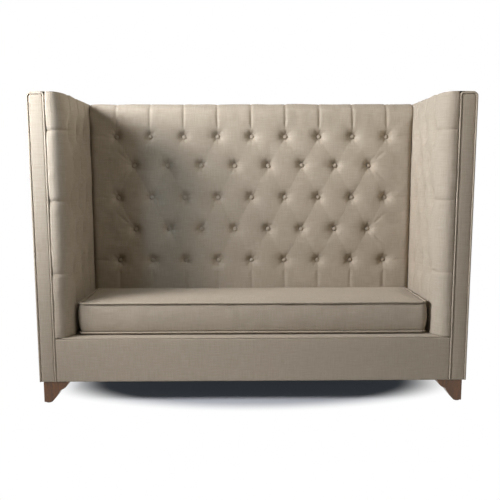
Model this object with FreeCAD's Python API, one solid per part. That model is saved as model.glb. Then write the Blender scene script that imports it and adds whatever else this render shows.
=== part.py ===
import FreeCAD, Part
import math
import os

# High back settee with deep-buttoned back and wings, one loose seat cushion and four bracket legs.
# Millimetres. X runs along the seat, Y from front to back, Z up. The origin is on the floor under the middle.
# Right-hand pieces (positive X) are built first and mirrored to make the left-hand ones.

# Overall sizes
overall_width = 2000.0
overall_depth = 700.0
frame_top = 1408.0
leg_height = 102.0

# Cloth, piping and panels
piping_diameter = 10.0
piping_proud = 3.0
piping_sides = 8
panel_corner = 12.0
side_top_drop = 3.0
panel_thickness = 7.0
facing_thickness = 12.0
top_padding = 12.0
soft_clearance = 0.3
piping_corner = 15.0
inner_piping_corner = 10.0

# Wings and back
wing_frame_thickness = 65.0
wing_pad_thickness = 82.0
back_face_from_front = 510.0
front_post_depth = 50.0
back_post_depth = 60.0
top_rail_height = 60.0
wing_roll_radius = 62.0
top_roll_rise = 6.0
back_roll_start = 10.0
back_roll_shoulder = 22.0
back_roll_shoulder_share = 0.53
back_roll_crest = 55.0
back_roll_fall = 8.0
wing_top_start = 8.0
wing_top_shoulder = 14.0
wing_top_shoulder_share = 0.62
wing_top_crest = 36.0
top_edge_round = 6.0

# Deep buttoning
button_diameter = 24.0
button_height = 9.0
button_sides = 8
button_crown_share = 0.55
button_shoulder_share = 0.4
button_pit = 26.0
button_depth = 32.0
crease_depth = 14.0
edge_crease = 5.0
rim_depth = 16.0
rim_reach = 19.0
rim_rise = 3.0
middle_dip = 2.5
at_button = 0.01
crest_share = 0.3
roll_steps = 4
roll_waist = 0.78
pleat_width = 6.0
pleat_depth = 9.0
row_pitch = 166.0
top_row_pitch = 148.0
top_row_drop = 149.0
back_button_margin = 134.7
back_button_count = 9
wing_button_count = 3
wing_first_button = 125.0
wing_last_button = 85.0

# Seat frame and deck
rail_thickness = 28.0
seat_rail_top = 292.0
lower_rail_bottom = 330.0
lower_rail_height = 60.0
mid_rail_bottom = 850.0
border_top = 304.0
deck_top = 312.0
deck_nose_radius = 3.0
dust_cover_thickness = 1.0
cross_rail_top = 262.0
cross_rail_height = 90.0
block_height = 60.0
block_reach = 60.0

# Mortise and tenon joints
tenon_length = 30.0
tenon_shoulder = 8.0
tenon_clearance = 0.2
tenon_stagger = 1.5

# Webbing and linings
webbing_width = 60.0
webbing_thickness = 2.5
webbing_side_margin = 165.0
webbing_count = 9
wing_webbing_top_margin = 118.0
wing_webbing_count = 4
wing_webbing_lowest = 480.0
lining_thickness = 1.5
lining_margin = 3.0
webbing_end_margin = 5.0
webbing_top_margin = 8.0

# Loose seat cushion
cushion_side_gap = 2.7
cushion_end_bulge = 12.0
cushion_setback = 64.0
cushion_height = 141.0
cushion_seam_rise = 8.0
cushion_crown = 20.0
corner_crown = 12.0
end_foot = 0.5
cushion_bulge = 9.0
cushion_corner = 24.0
cushion_draw_in = 6.0
cushion_back_gap = 10.0
cushion_cover_thickness = 1.5
seam_offset_out = 5.0
seam_offset_up = 2.0
cushion_foot_slope = 25.0
slight_bend = 400.0

# Zip on the hidden boxing of the cushion
zip_end_margin = 186.0
zip_tape_height = 30.0
zip_tape_thickness = 1.0
zip_chain_height = 6.0
zip_chain_thickness = 1.6
slider_length = 12.0
slider_height = 10.0
slider_wall = 1.2
slider_clearance = 0.3
pull_length = 22.0
pull_width = 7.0
pull_thickness = 1.2
pull_bridge = 6.0
zip_stop_reach = 4.0

# Legs and their fixings
leg_top_width = 117.0
leg_foot_width = 36.0
leg_inset = 17.0
leg_front_inset = 7.0
leg_step = 38.0
leg_step_drop = 40.0
ogee_step_share = 0.36
ogee_drop_share = 0.66
ogee_foot_share = 0.42
glide_diameter = 26.0
glide_thickness = 4.0
bolt_diameter = 8.0
bolt_clearance = 0.3
nut_clearance = 0.05
bolt_in_leg = 30.0
bolt_from_inner_edge = 39.0
nut_width = 13.0
nut_height = 6.5
bolt_end = 4.0
glide_sides = 16
screw_diameter = 5.0
screw_length = 70.0
screw_head = 10.0
screw_clearance = 0.2

# Places worked out from the sizes above
piping_radius = piping_diameter / 2
half_width = overall_width / 2
half_depth = overall_depth / 2
frame_x = half_width - piping_proud - panel_thickness
post_x = frame_x - wing_frame_thickness
facing_front = -half_depth + piping_proud
frame_front = facing_front + facing_thickness
frame_back = half_depth - piping_proud - panel_thickness
front_post_back = frame_front + front_post_depth
back_post_front = frame_back - back_post_depth
webbing_x = post_x - webbing_thickness
lining_x = webbing_x - lining_thickness
pad_back_x = lining_x - soft_clearance
inner_x = pad_back_x - wing_pad_thickness
back_face = facing_front + back_face_from_front
webbing_y = back_post_front - webbing_thickness
lining_y = webbing_y - lining_thickness
pad_back_y = lining_y - soft_clearance
piping_x = half_width - piping_radius
piping_y = half_depth - piping_radius
piping_z = frame_top + top_padding - piping_radius
inner_piping_x = post_x - 1.0
frame_bottom = leg_height + dust_cover_thickness
pad_front = -piping_y
pad_bottom = deck_top + soft_clearance
back_button_pitch = 2 * (inner_x - back_button_margin) / (back_button_count - 1)
wing_button_pitch = (back_face_from_front - wing_first_button - wing_last_button) / (wing_button_count - 1)
webbing_pitch = 2 * (post_x - webbing_side_margin) / (webbing_count - 1)
wing_webbing_reach = frame_top - wing_webbing_top_margin - webbing_width - wing_webbing_lowest
wing_webbing_pitch = wing_webbing_reach / (wing_webbing_count - 1)
stile_x = webbing_pitch * 1.5
top_rail_bottom = frame_top - top_rail_height
cushion_half_length = inner_x - cushion_side_gap
zip_half_length = cushion_half_length - zip_end_margin
top_row = frame_top - top_row_drop
rows = [top_row - top_row_pitch - row_pitch * n for n in (3, 2, 1, 0)] + [top_row]
up = FreeCAD.Vector(0, 0, 1)
along_x = FreeCAD.Vector(1, 0, 0)
along_y = FreeCAD.Vector(0, 1, 0)


def vec(x, y, z):
    return FreeCAD.Vector(x, y, z)


def block(x0, x1, y0, y1, z0, z1):
    return Part.makeBox(x1 - x0, y1 - y0, z1 - z0, vec(x0, y0, z0))


def mirrored(shape):
    return shape.mirror(vec(0, 0, 0), along_x)


def front_to_back(shape):
    return shape.mirror(vec(0, 0, 0), along_y)


def write(name, shape):
    shape.exportStep(os.path.join("parts", name + ".step"))


def write_pair(name, right):
    write(name + "_right", right)
    write(name + "_left", mirrored(right))


def prism(points, direction):
    face = Part.Face(Part.makePolygon(points + points[:1]))
    return face.extrude(direction)


def peg(radius, length, base, direction, sides=8):
    """A round pin or hole with few faces, whose flats lie at the given radius."""
    side = direction.cross(up) if abs(direction.z) < 0.5 else vec(1, 0, 0)
    other = direction.cross(side)
    reach = radius / math.cos(math.pi / sides)
    angles = [2 * math.pi * (n + 0.5) / sides for n in range(sides)]
    ring = [base + side * (reach * math.cos(a)) + other * (reach * math.sin(a)) for a in angles]
    return prism(ring, direction * length)


def curve(start, middle, end):
    """An arc through three points, or a straight edge where the three are in line."""
    rise = (middle - (start + end) * 0.5).Length
    if rise < 0.05:
        return Part.makeLine(start, end)
    return Part.Arc(start, middle, end).toShape()


# Mortise and tenon joints: a rail is a block with a thinner tongue on both ends, and its post has the hole

def tongues(limits, axis, grow=0.0):
    """The two tenons of a rail whose block has these limits, along axis 0, 1 or 2.

    Rails along X have theirs in the lower half and rails along Y in the upper one, so that they miss.
    """
    found = []
    for end in (0, 1):
        box = [list(limits[0]), list(limits[1]), list(limits[2])]
        middle = (box[2][0] + box[2][1]) / 2
        if axis == 0:
            box[2][1] = middle + tenon_shoulder - tenon_stagger
        if axis == 1:
            box[2][0] = middle - tenon_shoulder + tenon_stagger
        for side in range(3):
            if side != axis:
                box[side][0] += tenon_shoulder - grow
                box[side][1] -= tenon_shoulder - grow
        if end:
            box[axis] = [limits[axis][1], limits[axis][1] + tenon_length + grow]
        else:
            box[axis] = [limits[axis][0] - tenon_length - grow, limits[axis][0]]
        found.append(block(*box[0], *box[1], *box[2]))
    return found


def rail(limits, axis):
    body = block(*limits[0], *limits[1], *limits[2])
    return body.multiFuse(tongues(limits, axis)).removeSplitter()


def mortised(post, rails):
    """Cut the grown tenons of each (limits, axis) rail out of a post."""
    for limits, axis in rails:
        for tongue in tongues(limits, axis, tenon_clearance):
            post = post.cut(tongue)
    return post


def frame_limits():
    """Each rail's block and the axis that it runs along."""
    side_y = (front_post_back, back_post_front)
    between = (-post_x, post_x)
    lower_z = (lower_rail_bottom, lower_rail_bottom + lower_rail_height)
    top_z = (top_rail_bottom, frame_top)
    seat_z = (frame_bottom, seat_rail_top)
    thin_back = (back_post_front, back_post_front + rail_thickness)
    front_y = (frame_front, frame_front + rail_thickness)
    rear_y = (frame_back - rail_thickness, frame_back)
    return {
        "wing_top_rail": (((post_x, frame_x), side_y, top_z), 1),
        "wing_lower_rail": (((post_x, post_x + rail_thickness), side_y, lower_z), 1),
        "side_seat_rail": (((frame_x - rail_thickness, frame_x), side_y, seat_z), 1),
        "front_seat_rail": ((between, front_y, seat_z), 0),
        "rear_seat_rail": ((between, rear_y, seat_z), 0),
        "back_top_rail": ((between, (back_post_front, frame_back), top_z), 0),
        "back_mid_rail": ((between, thin_back, (mid_rail_bottom, mid_rail_bottom + lower_rail_height)), 0),
        "back_lower_rail": ((between, thin_back, lower_z), 0),
    }


def upright_limits(side):
    """A back stile, which stands on the rear seat rail and carries the top rail."""
    x = (side * stile_x - webbing_width / 2, side * stile_x + webbing_width / 2)
    return (x, (back_post_front + rail_thickness, frame_back), (seat_rail_top, top_rail_bottom)), 2


def cross_limits(side):
    """A cross rail under the webbing, from the front seat rail to the rear one."""
    x = (side * stile_x - rail_thickness / 2, side * stile_x + rail_thickness / 2)
    y = (frame_front + rail_thickness, frame_back - rail_thickness)
    return (x, y, (cross_rail_top - cross_rail_height, cross_rail_top)), 1


def short_rail(limits, axis):
    """A rail whose tenons are two thirds of the rail that they enter."""
    body = block(*limits[0], *limits[1], *limits[2])
    tips = [tip.common(short_reach(limits, axis)) for tip in tongues(limits, axis)]
    return body.multiFuse(tips).removeSplitter()


def short_reach(limits, axis, grow=0.0):
    reach = [list(limits[0]), list(limits[1]), list(limits[2])]
    reach[axis][0] -= rail_thickness * 2 / 3 + grow
    reach[axis][1] += rail_thickness * 2 / 3 + grow
    return block(*reach[0], *reach[1], *reach[2])


def cut_short(shape, limits, axis):
    for tongue in tongues(limits, axis, tenon_clearance):
        shape = shape.cut(tongue.common(short_reach(limits, axis, tenon_clearance)))
    return shape


def make_frame():
    limits = frame_limits()
    side_rails = [limits[n] for n in ("wing_top_rail", "wing_lower_rail", "side_seat_rail")]
    front_rails = [limits["front_seat_rail"]]
    back_rails = [limits[n] for n in ("rear_seat_rail", "back_top_rail", "back_mid_rail", "back_lower_rail")]
    front_post = block(post_x, frame_x, frame_front, front_post_back, frame_bottom, frame_top)
    back_post = block(post_x, frame_x, back_post_front, frame_back, frame_bottom, frame_top)
    write_pair("front_post", drilled(mortised(front_post, side_rails + front_rails)))
    write_pair("back_post", mortised(back_post, side_rails + back_rails))
    for name in ("wing_top_rail", "wing_lower_rail", "side_seat_rail"):
        write_pair(name, rail(*limits[name]))
    for name in ("back_mid_rail", "back_lower_rail"):
        write(name, rail(*limits[name]))
    for name in ("front_seat_rail", "rear_seat_rail", "back_top_rail"):
        shape = rail(*limits[name])
        for side in (-1, 1):
            shape = cut_short(shape, *cross_limits(side)) if "seat" in name else shape
            shape = cut_short(shape, *upright_limits(side)) if name != "front_seat_rail" else shape
        write(name, shape)
    write("back_stiles", Part.Compound([short_rail(*upright_limits(side)) for side in (-1, 1)]))
    write("cross_rails", Part.Compound([short_rail(*cross_limits(side)) for side in (-1, 1)]))


# Corner blocks carry the leg bolts, and each is screwed to its post

def corner_block(rail_face, post_face, toward):
    """One right-hand block: rail_face and post_face are the Y of the seat rail and of the post inside."""
    inner = half_width - leg_inset - leg_top_width
    side_face = frame_x - rail_thickness
    end = post_face + toward * block_reach
    points = [
        (inner, rail_face),
        (post_x, rail_face),
        (post_x, post_face),
        (side_face, post_face),
        (side_face, end),
        (post_x, end),
        (inner, rail_face + toward * block_reach),
    ]
    solid = prism([vec(x, y, frame_bottom) for x, y in points], up * block_height)
    return solid.cut(bolt_hole(toward))


def make_corner_blocks():
    front = corner_block(frame_front + rail_thickness, front_post_back, 1)
    rear = corner_block(frame_back - rail_thickness, back_post_front, -1)
    front = drilled(front)
    blocks = [front, mirrored(front), rear, mirrored(rear)]
    write("corner_blocks", Part.Compound(blocks))


def screw_heights():
    return [frame_bottom + block_height * share for share in (0.3, 0.7)]


def screw_axis():
    """The screws run along X, from the block into the front post."""
    inner = half_width - leg_inset - leg_top_width
    return inner + 1.0, (frame_front + rail_thickness + front_post_back) / 2


def corner_screw(height, gap=0.0):
    x, y = screw_axis()
    radius = screw_diameter / 2 + gap
    shank = peg(radius, screw_length + gap, vec(x, y, height), along_x)
    head = peg(screw_head / 2 + gap, screw_head / 3 + gap, vec(x - gap, y, height), along_x)
    return shank.fuse(head).removeSplitter()


def drilled(shape):
    for height in screw_heights():
        shape = shape.cut(corner_screw(height, screw_clearance))
    return shape


def make_corner_screws():
    right = [corner_screw(height) for height in screw_heights()]
    write("corner_screws", Part.Compound(right + [mirrored(screw) for screw in right]))


# Elastic webbing, linings and the seat deck

def make_webbing():
    start = -webbing_pitch * (webbing_count - 1) / 2
    places = [start + webbing_pitch * n for n in range(webbing_count)]
    front = frame_front + webbing_end_margin
    rear = frame_back - webbing_end_margin
    low = lower_rail_bottom + webbing_end_margin
    high = frame_top - webbing_top_margin
    seat = []
    back = []
    for x in places:
        left = x - webbing_width / 2
        right = x + webbing_width / 2
        seat.append(block(left, right, front, rear, seat_rail_top, seat_rail_top + webbing_thickness))
        back.append(block(left, right, webbing_y, back_post_front, low, high))
    write("seat_webbing", Part.Compound(seat))
    write("back_webbing", Part.Compound(back))
    bands = []
    for n in range(wing_webbing_count):
        low = wing_webbing_lowest + wing_webbing_pitch * n
        bands.append(block(webbing_x, post_x, front, rear, low, low + webbing_width))
    write_pair("wing_webbing", Part.Compound(bands))


def make_linings():
    low = deck_top + lining_margin
    high = frame_top - lining_margin
    half = webbing_x - lining_margin
    write("back_lining", block(-half, half, lining_y, webbing_y, low, high))
    write_pair("wing_lining", block(lining_x, webbing_x, frame_front, lining_y, low, high))


def make_deck():
    """The padded deck cloth: it lies on the webbing and laps over the front border as a narrow lip."""
    half = inner_piping_x - piping_radius - soft_clearance
    low = seat_rail_top + webbing_thickness
    pad = block(-half, half, frame_front + soft_clearance, back_post_front + 20, low, deck_top)
    nose = block(-half, half, pad_front, frame_front + 10, border_top + soft_clearance, deck_top)
    deck = pad.fuse(nose).removeSplitter()
    edges = [e for e in deck.Edges if edge_at(e, pad_front, deck_top)]
    write("deck_pad", deck.makeFillet(deck_nose_radius, edges))


def edge_at(edge, y, z):
    box = edge.BoundBox
    return abs(box.YMin - y) + abs(box.YMax - y) + abs(box.ZMin - z) + abs(box.ZMax - z) < 0.01


# Deep-buttoned pads. Buttons stand in staggered rows. Between them lie tall diamond pillows, and at each level
# the face is a row of arcs that meet in creases. Odd rows hold one button more than even rows.

def blend(a, b, share):
    return a + (b - a) * share


def pillow_level(distance, pitch):
    """Share of the way from one row to the next, 0 beside the button pit and 1 beside the next one."""
    flat = button_pit / 2
    return min(1.0, max(0.0, (distance - flat) / (pitch - 2 * flat)))


def pad_levels(bottom, top):
    """(height, row, share) of each section: row is the index of the row below, share the way to the next."""
    flat = button_pit / 2
    levels = [(bottom, 0, None), (rows[0] - flat - 3 * rim_reach, 0, None)]
    for n, row in enumerate(rows):
        levels.append((row - flat, n, 0.0))
        levels.append((row + flat, n, 0.0))
        if n + 1 < len(rows):
            pitch = rows[n + 1] - row
            for distance in (flat + rim_reach, pitch / 2, pitch - flat - rim_reach):
                levels.append((row + distance, n, pillow_level(distance, pitch)))
    last = len(rows) - 1
    levels.append((rows[-1] + flat + 3 * rim_reach, last, None))
    levels.append((top, last, None))
    return levels


def family_shape(share, is_button, pitch):
    """Width, crease depth and crest depth of a pillow whose own button is in this row (or in the next)."""
    if share is None:
        width = pleat_width if is_button else pitch - pleat_width
        return width, pleat_depth, pleat_depth if is_button else 0.0
    away = share if is_button else 1.0 - share
    width = blend(button_pit, pitch - button_pit, away)
    near = min(away, 1.0 - away)
    row_depth = button_depth if near < at_button else (rim_depth if near < crest_share else crease_depth)
    if away < at_button:
        crest = button_depth
    elif away < crest_share:
        crest = rim_depth - rim_rise
    elif away < 1.0 - crest_share:
        crest = middle_dip
    else:
        crest = 0.0
    return width, row_depth, crest


def scallops(row, share, centres, pitch, start, end):
    """The points (place, depth) of one level's face from start to end, two of them on each pillow's crest."""
    points = [(start, 0.0)]
    for n, centre in enumerate(centres):
        is_button = n % 2 == row % 2
        width, cusp, crest = family_shape(share, is_button, pitch)
        left = centre - width / 2
        right = centre + width / 2
        beside_button = is_button and (share is None or share < 0.5)
        outer = cusp if beside_button else min(cusp, edge_crease)
        if n == 0:
            points.append(((start + left) / 2, 0.0))
            points.append((left, outer))
        points.append((blend(left, right, crest_share), crest))
        points.append((blend(right, left, crest_share), crest))
        points.append((right, outer if n == len(centres) - 1 else cusp))
    points.append(((points[-1][0] + end) / 2, 0.0))
    points.append((end, 0.0))
    return points


def patch(corners):
    """One flat face through four corners, or two triangles where they are not in a plane."""
    a, b, c, d = corners
    normal = (b - a).cross(c - a)
    if normal.Length < 1e-6 or abs(normal.normalize().dot(d - a)) > 1e-6:
        triangles = [(a, b, c), (a, c, d)]
        sound = [t for t in triangles if (t[1] - t[0]).cross(t[2] - t[0]).Length > 1e-6]
        return [Part.Face(Part.makePolygon([*t, t[0]])) for t in sound]
    return [Part.Face(Part.makePolygon([a, b, c, d, a]))]


def skinned(rings):
    """A solid of flat faces through level rings of points, with as many points in each ring."""
    faces = [Part.Face(Part.makePolygon(ring + ring[:1])) for ring in (rings[0], rings[-1])]
    for low, high in zip(rings, rings[1:]):
        count = len(low)
        for n in range(count):
            after = (n + 1) % count
            faces += patch((low[n], low[after], high[after], high[n]))
    shell = Part.Shell(faces)
    shell.sewShape()
    return Part.Solid(shell)


def tufted_pad(centres, pitch, face, levels, behind):
    """A pad in its own frame: X along its width from face[0] to face[1], Y from the crest plane into the pad.

    behind holds the plan corners of its hidden sides, in order from the face's end back to its start.
    """
    rings = []
    for height, row, share in levels:
        points = scallops(row, share, centres, pitch, *face)
        rings.append([vec(x, y, height) for x, y in points + behind])
    return skinned(rings)


def front_roll(start, thickness):
    """Plan corners of a wing pad's rear and its rolled front edge, from the rear face round to the front."""
    waist = thickness * roll_waist
    back_off = piping_radius
    corner = [(start + back_off, thickness), (start, thickness - back_off)]
    steps = [math.pi / 2 * n / roll_steps for n in range(roll_steps)]
    curve_points = [(start + wing_roll_radius * (1 - math.cos(a)), waist * (1 - math.sin(a))) for a in steps]
    return corner + curve_points


def centres_of(first, pitch, odd_count):
    """Odd and even button columns in order along the pad."""
    return [first + pitch / 2 * n for n in range(2 * odd_count - 1)]


def back_columns():
    first = -back_button_pitch * (back_button_count - 1) / 2
    return centres_of(first, back_button_pitch, back_button_count)


def wing_columns():
    return centres_of(facing_front + wing_first_button, wing_button_pitch, wing_button_count)


def button_places(columns):
    """(place along the pad, height) of every button of one pad."""
    places = []
    for n, row in enumerate(rows):
        places += [(place, row) for place in columns[n % 2::2]]
    return places


def button():
    """A covered button, domed towards -Y, with its back at Y 0."""
    def ring(radius, depth):
        angles = [2 * math.pi * n / button_sides for n in range(button_sides)]
        return [vec(radius * math.cos(a), depth, radius * math.sin(a)) for a in angles]

    radius = button_diameter / 2
    shoulder = -button_height * button_shoulder_share
    crown = ring(radius * button_crown_share, -button_height)
    return skinned([ring(radius, 0), ring(radius, shoulder), crown])


def quarter_turned(shape, x):
    """Turn a pad or button from facing -Y to facing -X, with its crest plane at x."""
    turned = shape.copy()
    turned.rotate(vec(0, 0, 0), up, -90)
    turned = front_to_back(turned)
    turned.translate(vec(x, 0, 0))
    return turned


def back_top_roll():
    """The back's cover rolling over the top rail to the piping behind."""
    half = inner_x - soft_clearance
    crest = piping_z + piping_radius + top_roll_rise
    shoulder_z = frame_top + (crest - frame_top) * back_roll_shoulder_share
    low_front = vec(-half, back_face + back_roll_start, frame_top)
    shoulder = vec(-half, back_face + back_roll_shoulder, shoulder_z)
    top = vec(-half, back_face + back_roll_crest, crest)
    rear_top = vec(-half, frame_back - soft_clearance, crest - back_roll_fall)
    rear_low = vec(-half, frame_back - soft_clearance, frame_top)
    level = vec(-half, (top.y + rear_top.y) / 2, crest - back_roll_fall / 5)
    edges = [
        curve(low_front, shoulder, top),
        curve(top, level, rear_top),
        Part.makeLine(rear_top, rear_low),
        Part.makeLine(rear_low, low_front),
    ]
    return Part.Face(Part.Wire(edges)).extrude(along_x * (2 * half))


def wing_top_roll():
    """The wing's cover rolling over its top rail to the seam on the outside."""
    front = frame_front
    rear = frame_back - soft_clearance
    top_z = piping_z + piping_radius
    side = frame_x - soft_clearance
    low = vec(inner_x + wing_top_start, front, frame_top)
    shoulder = vec(inner_x + wing_top_shoulder, front, frame_top + top_padding * wing_top_shoulder_share)
    top = vec(inner_x + wing_top_crest, front, top_z)
    outer_top = vec(side - top_edge_round, front, top_z)
    outer_side = vec(side, front, top_z - top_edge_round)
    outer_low = vec(side, front, frame_top)
    edges = [
        curve(low, shoulder, top),
        Part.makeLine(top, outer_top),
        Part.makeLine(outer_top, outer_side),
        Part.makeLine(outer_side, outer_low),
        Part.makeLine(outer_low, low),
    ]
    return Part.Face(Part.Wire(edges)).extrude(along_y * (rear - front))


def make_pads():
    levels = pad_levels(pad_bottom, frame_top)
    depth = pad_back_y - back_face
    step = soft_clearance
    ears = [
        (inner_x, step),
        (pad_back_x, step),
        (pad_back_x, depth),
        (-pad_back_x, depth),
        (-pad_back_x, step),
        (-inner_x, step),
    ]
    back = tufted_pad(back_columns(), back_button_pitch, (-inner_x, inner_x), levels, ears)
    back.translate(vec(0, back_face, 0))
    write("back_pad", back.fuse(back_top_roll()).removeSplitter())
    end = back_face - soft_clearance
    behind = [(end, wing_pad_thickness)] + front_roll(pad_front, wing_pad_thickness)
    face = (pad_front + wing_roll_radius, end)
    wing = tufted_pad(wing_columns(), wing_button_pitch, face, levels, behind)
    wing = quarter_turned(wing, inner_x)
    write_pair("wing_pad", wing.fuse(wing_top_roll()).removeSplitter())


def make_buttons():
    one = button()
    back = []
    for place, height in button_places(back_columns()):
        piece = one.copy()
        piece.translate(vec(place, back_face + button_depth - soft_clearance, height))
        back.append(piece)
    write("back_buttons", Part.Compound(back))
    turned = quarter_turned(one, inner_x + button_depth - soft_clearance)
    wing = []
    for place, height in button_places(wing_columns()):
        piece = turned.copy()
        piece.translate(vec(0, place, height))
        wing.append(piece)
    write_pair("wing_buttons", Part.Compound(wing))


# Outside panels, facings and piping

def top_corners(panel, x, z):
    """The panel's short edges along Y at its top, at x on either side."""
    found = []
    for edge in panel.Edges:
        box = edge.BoundBox
        if abs(abs(box.XMin) - x) + box.XLength + abs(box.ZMin - z) + box.ZLength < 0.01:
            found.append(edge)
    return found


def make_panels():
    low = frame_bottom
    facing_top = piping_z - piping_radius - soft_clearance
    left = inner_piping_x + piping_radius + soft_clearance
    right = piping_x - piping_radius - soft_clearance
    facing = block(left, right, facing_front, frame_front, low, facing_top)
    facing = facing.makeFillet(panel_corner, top_corners(facing, right, facing_top))
    write_pair("facing", facing)
    reach = half_depth - piping_diameter - soft_clearance
    side_top = piping_z + piping_radius - side_top_drop
    side = block(frame_x, frame_x + panel_thickness, -reach, reach, low, side_top)
    write_pair("outer_side", side)
    half = half_width - piping_diameter - soft_clearance
    back_top = piping_z - piping_radius - soft_clearance
    outer = block(-half, half, frame_back, frame_back + panel_thickness, low, back_top)
    write("outer_back", outer.makeFillet(panel_corner, top_corners(outer, half, back_top)))
    border = inner_piping_x - piping_radius - soft_clearance
    cover = block(-border, border, facing_front, frame_front, low, border_top)
    front_edges = [e for e in cover.Edges if abs(e.BoundBox.YMax - facing_front) < 0.01]
    lower = [e for e in front_edges if e.BoundBox.XLength > border]
    write("base_front_cover", cover.makeFillet(deck_nose_radius, lower))
    dust = block(-frame_x, frame_x, -reach, reach, leg_height, frame_bottom)
    for toward in (1, -1):
        hole = bolt_hole(toward)
        dust = dust.cut(hole).cut(mirrored(hole))
    write("dust_cover", dust)


def tube(points, radii, radius, closed=False):
    """A round tube along straight runs with a tangent arc of the given radius at each inner point."""
    count = len(points)
    edges = []
    cursor = None
    first = None
    span = range(count) if closed else range(1, count - 1)
    for n in span:
        here = points[n]
        before = (points[n - 1] - here).normalize()
        after = (points[(n + 1) % count] - here).normalize()
        bend = radii[n % len(radii)]
        half_angle = before.getAngle(after) / 2
        back = bend / math.tan(half_angle)
        start = here + before * back
        end = here + after * back
        inward = (before + after).normalize()
        middle = here + inward * (bend / math.sin(half_angle) - bend)
        if cursor is None and not closed:
            cursor = points[0]
        if cursor is not None:
            edges.append(Part.makeLine(cursor, start))
        else:
            first = start
        edges.append(Part.Arc(start, middle, end).toShape())
        cursor = end
    edges.append(Part.makeLine(cursor, first if closed else points[-1]))
    path = Part.Wire(edges)
    origin = edges[0].Vertexes[0].Point
    heading = edges[0].tangentAt(edges[0].FirstParameter)
    side = heading.cross(up) if abs(heading.z) < 0.5 else vec(1, 0, 0)
    other = heading.cross(side)
    angles = [2 * math.pi * (n + 0.5) / piping_sides for n in range(piping_sides)]
    points = [origin + side * (radius * math.cos(a)) + other * (radius * math.sin(a)) for a in angles]
    return path.makePipeShell([Part.makePolygon(points + points[:1])], True, False)


def make_piping():
    low = frame_bottom
    facing = [
        vec(piping_x, -piping_y, low),
        vec(piping_x, -piping_y, piping_z),
        vec(inner_piping_x, -piping_y, piping_z),
        vec(inner_piping_x, -piping_y, low),
    ]
    write_pair("facing_piping", tube(facing, [0, piping_corner, inner_piping_corner, 0], piping_radius))
    around = [
        vec(-piping_x, piping_y, low),
        vec(-piping_x, piping_y, piping_z),
        vec(piping_x, piping_y, piping_z),
        vec(piping_x, piping_y, low),
    ]
    write("outer_back_piping", tube(around, [piping_corner], piping_radius))


# Loose seat cushion: a crowned box cushion with bulging boxing and rounded ends

def cushion_limits():
    """Front and rear seam planes, seam heights and the half length to the end seams."""
    front = facing_front + cushion_setback
    rear = back_face - cushion_back_gap
    low = deck_top + soft_clearance + cushion_seam_rise
    return front, rear, low, low + cushion_height, cushion_half_length - cushion_end_bulge


def cushion_section(x, front_inset, rear_inset, pinch, foot, crown, bulge, shell):
    """One section across the cushion, drawn in at the front and rear and pinched at its top and bottom.

    foot is how far its flat underside lies below the bottom seam.
    """
    front, rear, low, high, _ = cushion_limits()
    front += front_inset + shell
    rear -= rear_inset + shell
    low += pinch
    high -= pinch + shell
    floor = low - foot + shell
    toe = cushion_foot_slope
    middle_y = (front + rear) / 2
    middle_z = (low + high) / 2
    corners = [
        vec(x, front, low + shell),
        vec(x, front + toe, floor),
        vec(x, rear - toe, floor),
        vec(x, rear, low + shell),
        vec(x, rear, high),
        vec(x, front, high),
    ]
    edges = [Part.makeLine(corners[n], corners[n + 1]) for n in range(4)]
    edges.append(curve(corners[4], vec(x, middle_y, high + crown), corners[5]))
    edges.append(curve(corners[5], vec(x, front - bulge, middle_z), corners[0]))
    return Part.Wire(edges)


def front_stations():
    """(x, how far the front seam is drawn in there) from the middle towards the corner."""
    straight = cushion_limits()[4] - cushion_corner
    return [(straight * share, cushion_draw_in * (1 - share * share)) for share in (0.0, 0.45, 0.8)]


def cushion_form(shell):
    """The cushion's outer form, or the same form drawn in all round by a shell's thickness."""
    end_seam = cushion_limits()[4] - shell
    radius = cushion_corner
    half = []
    for x, drawn in front_stations():
        share = x / end_seam
        crown = cushion_crown * (1 - 0.35 * share ** 3)
        half.append((x, drawn, 0.0, 0.0, cushion_seam_rise, crown, cushion_bulge))
    for turn in (0, 30, 60, 90):
        angle = math.radians(turn)
        x = end_seam - radius + radius * math.sin(angle)
        drawn = radius * (1 - math.cos(angle))
        foot = max(end_foot, cushion_seam_rise * math.cos(angle))
        half.append((x, drawn, drawn, 0.0, foot, corner_crown * math.cos(angle), cushion_bulge))
    for reach, drawn, pinch, bulge in ((0.7, 4, 0.16, 0.6), (1.0, 12, 0.34, 0.1)):
        x = end_seam + cushion_end_bulge * reach
        inset = radius + drawn
        half.append((x, inset, inset, cushion_height * pinch, end_foot, 1.0, cushion_bulge * bulge))
    stations = [(-x, *rest) for x, *rest in reversed(half[1:])] + half
    wires = [cushion_section(*station, shell) for station in stations]
    return Part.makeLoft(wires, True, True)


def make_cushion():
    outer = cushion_form(0.0)
    write("cushion_cover", outer.cut(cushion_form(cushion_cover_thickness)))
    write("cushion_core", cushion_form(cushion_cover_thickness + soft_clearance))
    front, rear, low, high, end = cushion_limits()
    out = seam_offset_out
    drawn = [(x, front - out + inset) for x, inset in front_stations()]
    front_line = [(-x, y) for x, y in reversed(drawn)] + drawn[1:]
    corner_turn = cushion_corner + out
    loops = []
    for z in (low - seam_offset_up, high + seam_offset_up):
        points = [(-end - out, front - out)] + front_line
        points += [(end + out, front - out), (end + out, rear + out), (-end - out, rear + out)]
        radii = [corner_turn] + [slight_bend] * len(front_line) + [corner_turn] * 3
        loops.append(tube([vec(x, y, z) for x, y in points], radii, piping_radius, True))
    write("cushion_piping", Part.Compound(loops))


def zip_place():
    _, rear, low, high, _ = cushion_limits()
    return rear, (low + high) / 2


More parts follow.
